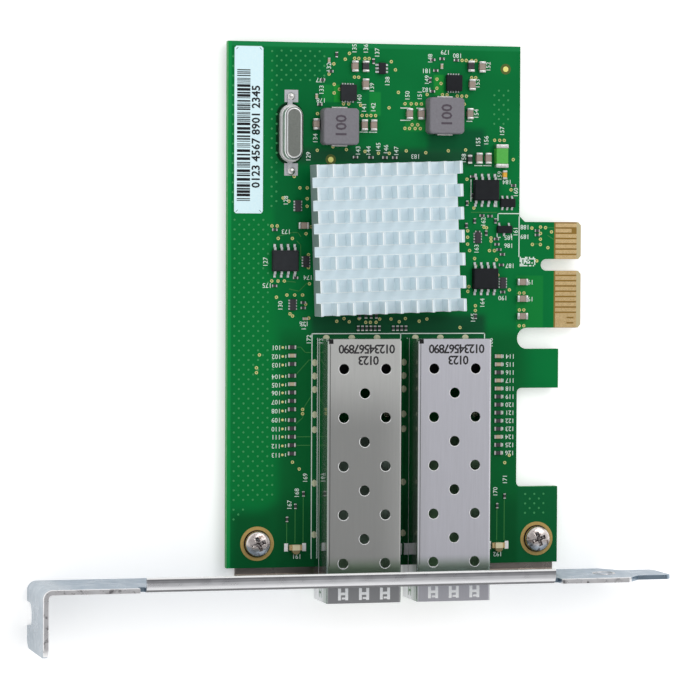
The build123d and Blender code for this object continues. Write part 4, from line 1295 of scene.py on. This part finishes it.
def screw_crown():
    """Half-round crown: a ball cut flat at the seat and squeezed to the head's height."""
    radius = screw_head_radius * MM
    crown = fresh(bpy.ops.mesh.primitive_uv_sphere_add, segments=40, ring_count=20, radius=radius)
    bpy.ops.object.mode_set(mode="EDIT")
    bpy.ops.mesh.select_all(action="SELECT")
    cut = -0.0002 * MM
    bpy.ops.mesh.bisect(plane_co=(0, 0, cut), plane_no=(0, 0, 1), clear_inner=True, use_fill=True)
    bpy.ops.object.mode_set(mode="OBJECT")
    dome = screw_top - screw_seat - screw_rim
    for vertex in crown.data.vertices:
        share = min(1.0, vertex.co.z / radius)
        if share > 0.01:
            vertex.co.z = (screw_rim + dome * math.sqrt(share)) * MM
    return crown


def screws():
    heads = []
    for x in screw_xs:
        crown = screw_crown()
        crown.location = Vector((x, screw_y, screw_seat)) * MM
        settled(crown)
        foot = screw_top - recess_drop
        for turn in recess_turns:
            blade = settled(slab(x, screw_y, foot, 2 * recess_half, 2 * recess_blade, recess_drop + 1, turn))
            only(crown)
            cut = crown.modifiers.new("recess", "BOOLEAN")
            cut.object = blade
            cut.operation = "DIFFERENCE"
            cut.solver = "EXACT"
            bpy.ops.object.modifier_apply(modifier="recess")
            bpy.data.objects.remove(blade)
        rounded(crown, 0.06, 2, 40)
        bpy.ops.object.shade_smooth_by_angle(angle=math.radians(40))
        shank = round_disc(shank_radius, screw_seat - screw_foot + 0.1, 32)
        shank.location = Vector((x, screw_y, screw_foot)) * MM
        heads += [crown, settled(shank)]
    obj = piece(joined(heads), "pan_head_screws", "screw")
    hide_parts("bracket_screws")


def head_shadows():
    """Painted shadow: a dark ring in the gap between each screw head and the gold ring under it."""
    template = wire_ring(screw_head_radius + 0.06, 0.1, 40, 6)
    rings = copies(template, [(x, screw_y, screw_seat) for x in screw_xs])
    piece(joined(rings), "head_shadows", "shade")


screws()
head_shadows()


# Heat sink: painted highlights, bright strips along the fin edges where the fins were sawn across
sink_middle = (sink_low + sink_high) / 2
sink_turn = 2.1
sink_width = 28.0
sink_floor = 3.7
fin_columns = 10
fin_thickness = 0.55
fin_rows = 7
fin_length = 2.36


def on_sink(x, y):
    """A place drawn on the square sink, as it lies turned on the board."""
    turn = math.radians(sink_turn)
    across = sink_middle.x + x * math.cos(turn) - y * math.sin(turn)
    return across, sink_middle.y + x * math.sin(turn) + y * math.cos(turn)


def fin_edge_highlights():
    highlight_strips = []
    half = sink_width / 2
    fin_row_pitch = (sink_width - fin_length) / (fin_rows - 1)
    fin_pitch = (sink_width - fin_thickness) / (fin_columns - 1)
    for row in range(fin_rows):
        low = -half + row * fin_row_pitch
        for y in (low - 0.05, low + fin_length + 0.05):
            if abs(y) < half - 0.1:
                highlight_strips.append(slab(*on_sink(0, y), sink_floor, sink_width - 0.1, 0.16, 0.05, sink_turn))
        for column in range(fin_columns):
            place = on_sink(-half + column * fin_pitch + 0.06, low + fin_length / 2)
            highlight_strips.append(slab(*place, sink_high.z - 0.01, 0.14, fin_length - 0.1, 0.03, sink_turn))
    piece(rounded(joined(highlight_strips), 0.01), "fin_edge_highlights", "edge_glint")


fin_edge_highlights()

# Lights: name, place and width in metres, and watts; all point at the middle of the card
lamps = [
    ("softbox", (0.45, 0.55, 0.9), 0.7, 2.6),
    ("fill", (-0.6, -0.5, 0.8), 0.8, 0.8),
]
card_middle = Vector((0.03, 0.05, 0))


def studio():
    """White floor, one large softbox, a soft fill, and a world that is white at the horizon."""
    level = (bracket_low.z - 0.02) * MM
    floor = fresh(bpy.ops.mesh.primitive_plane_add, size=6.0, location=(0, 0, level))
    floor.name = "floor"
    floor.data.materials.append(studio_floor())
    for name, place, size, power in lamps:
        light = bpy.data.lights.new(name, "AREA")
        light.size = size
        light.energy = power
        lamp = bpy.data.objects.new(name, light)
        bpy.context.scene.collection.objects.link(lamp)
        lamp.location = place
        lamp.rotation_euler = (card_middle - Vector(place)).to_track_quat("-Z", "Y").to_euler()
    world = bpy.data.worlds.new("studio_world")
    bpy.context.scene.world = world
    world.use_nodes = True
    tree = world.node_tree
    tree.nodes.clear()
    white = (1, 1, 1, 1)
    height = add(tree, "axes", add(tree, "sky"))["Z"]
    seen_colour = add(tree, "mix", add(tree, "span", height, 0.35, 0.98), white, (0.41, 0.41, 0.42, 1))
    seen = add(tree, "glow", seen_colour, 1.0)
    light = add(tree, "glow", white, 0.8)
    add(tree, "world", add(tree, "blend", rays_that_see(tree), light, seen))


studio()


def camera():
    data = bpy.data.cameras.new("camera")
    data.sensor_width = camera_sensor
    data.lens = camera_lens
    data.clip_start = 0.01
    data.clip_end = 20.0
    obj = bpy.data.objects.new("camera", data)
    bpy.context.scene.collection.objects.link(obj)
    back = -camera_look.normalized()
    right = camera_up.cross(back).normalized()
    up = back.cross(right)
    turn = Matrix((right, up, back)).transposed().to_4x4()
    obj.matrix_world = Matrix.Translation(camera_place * MM) @ turn
    bpy.context.scene.camera = obj


camera()
bpy.context.scene.view_settings.view_transform = "Standard"
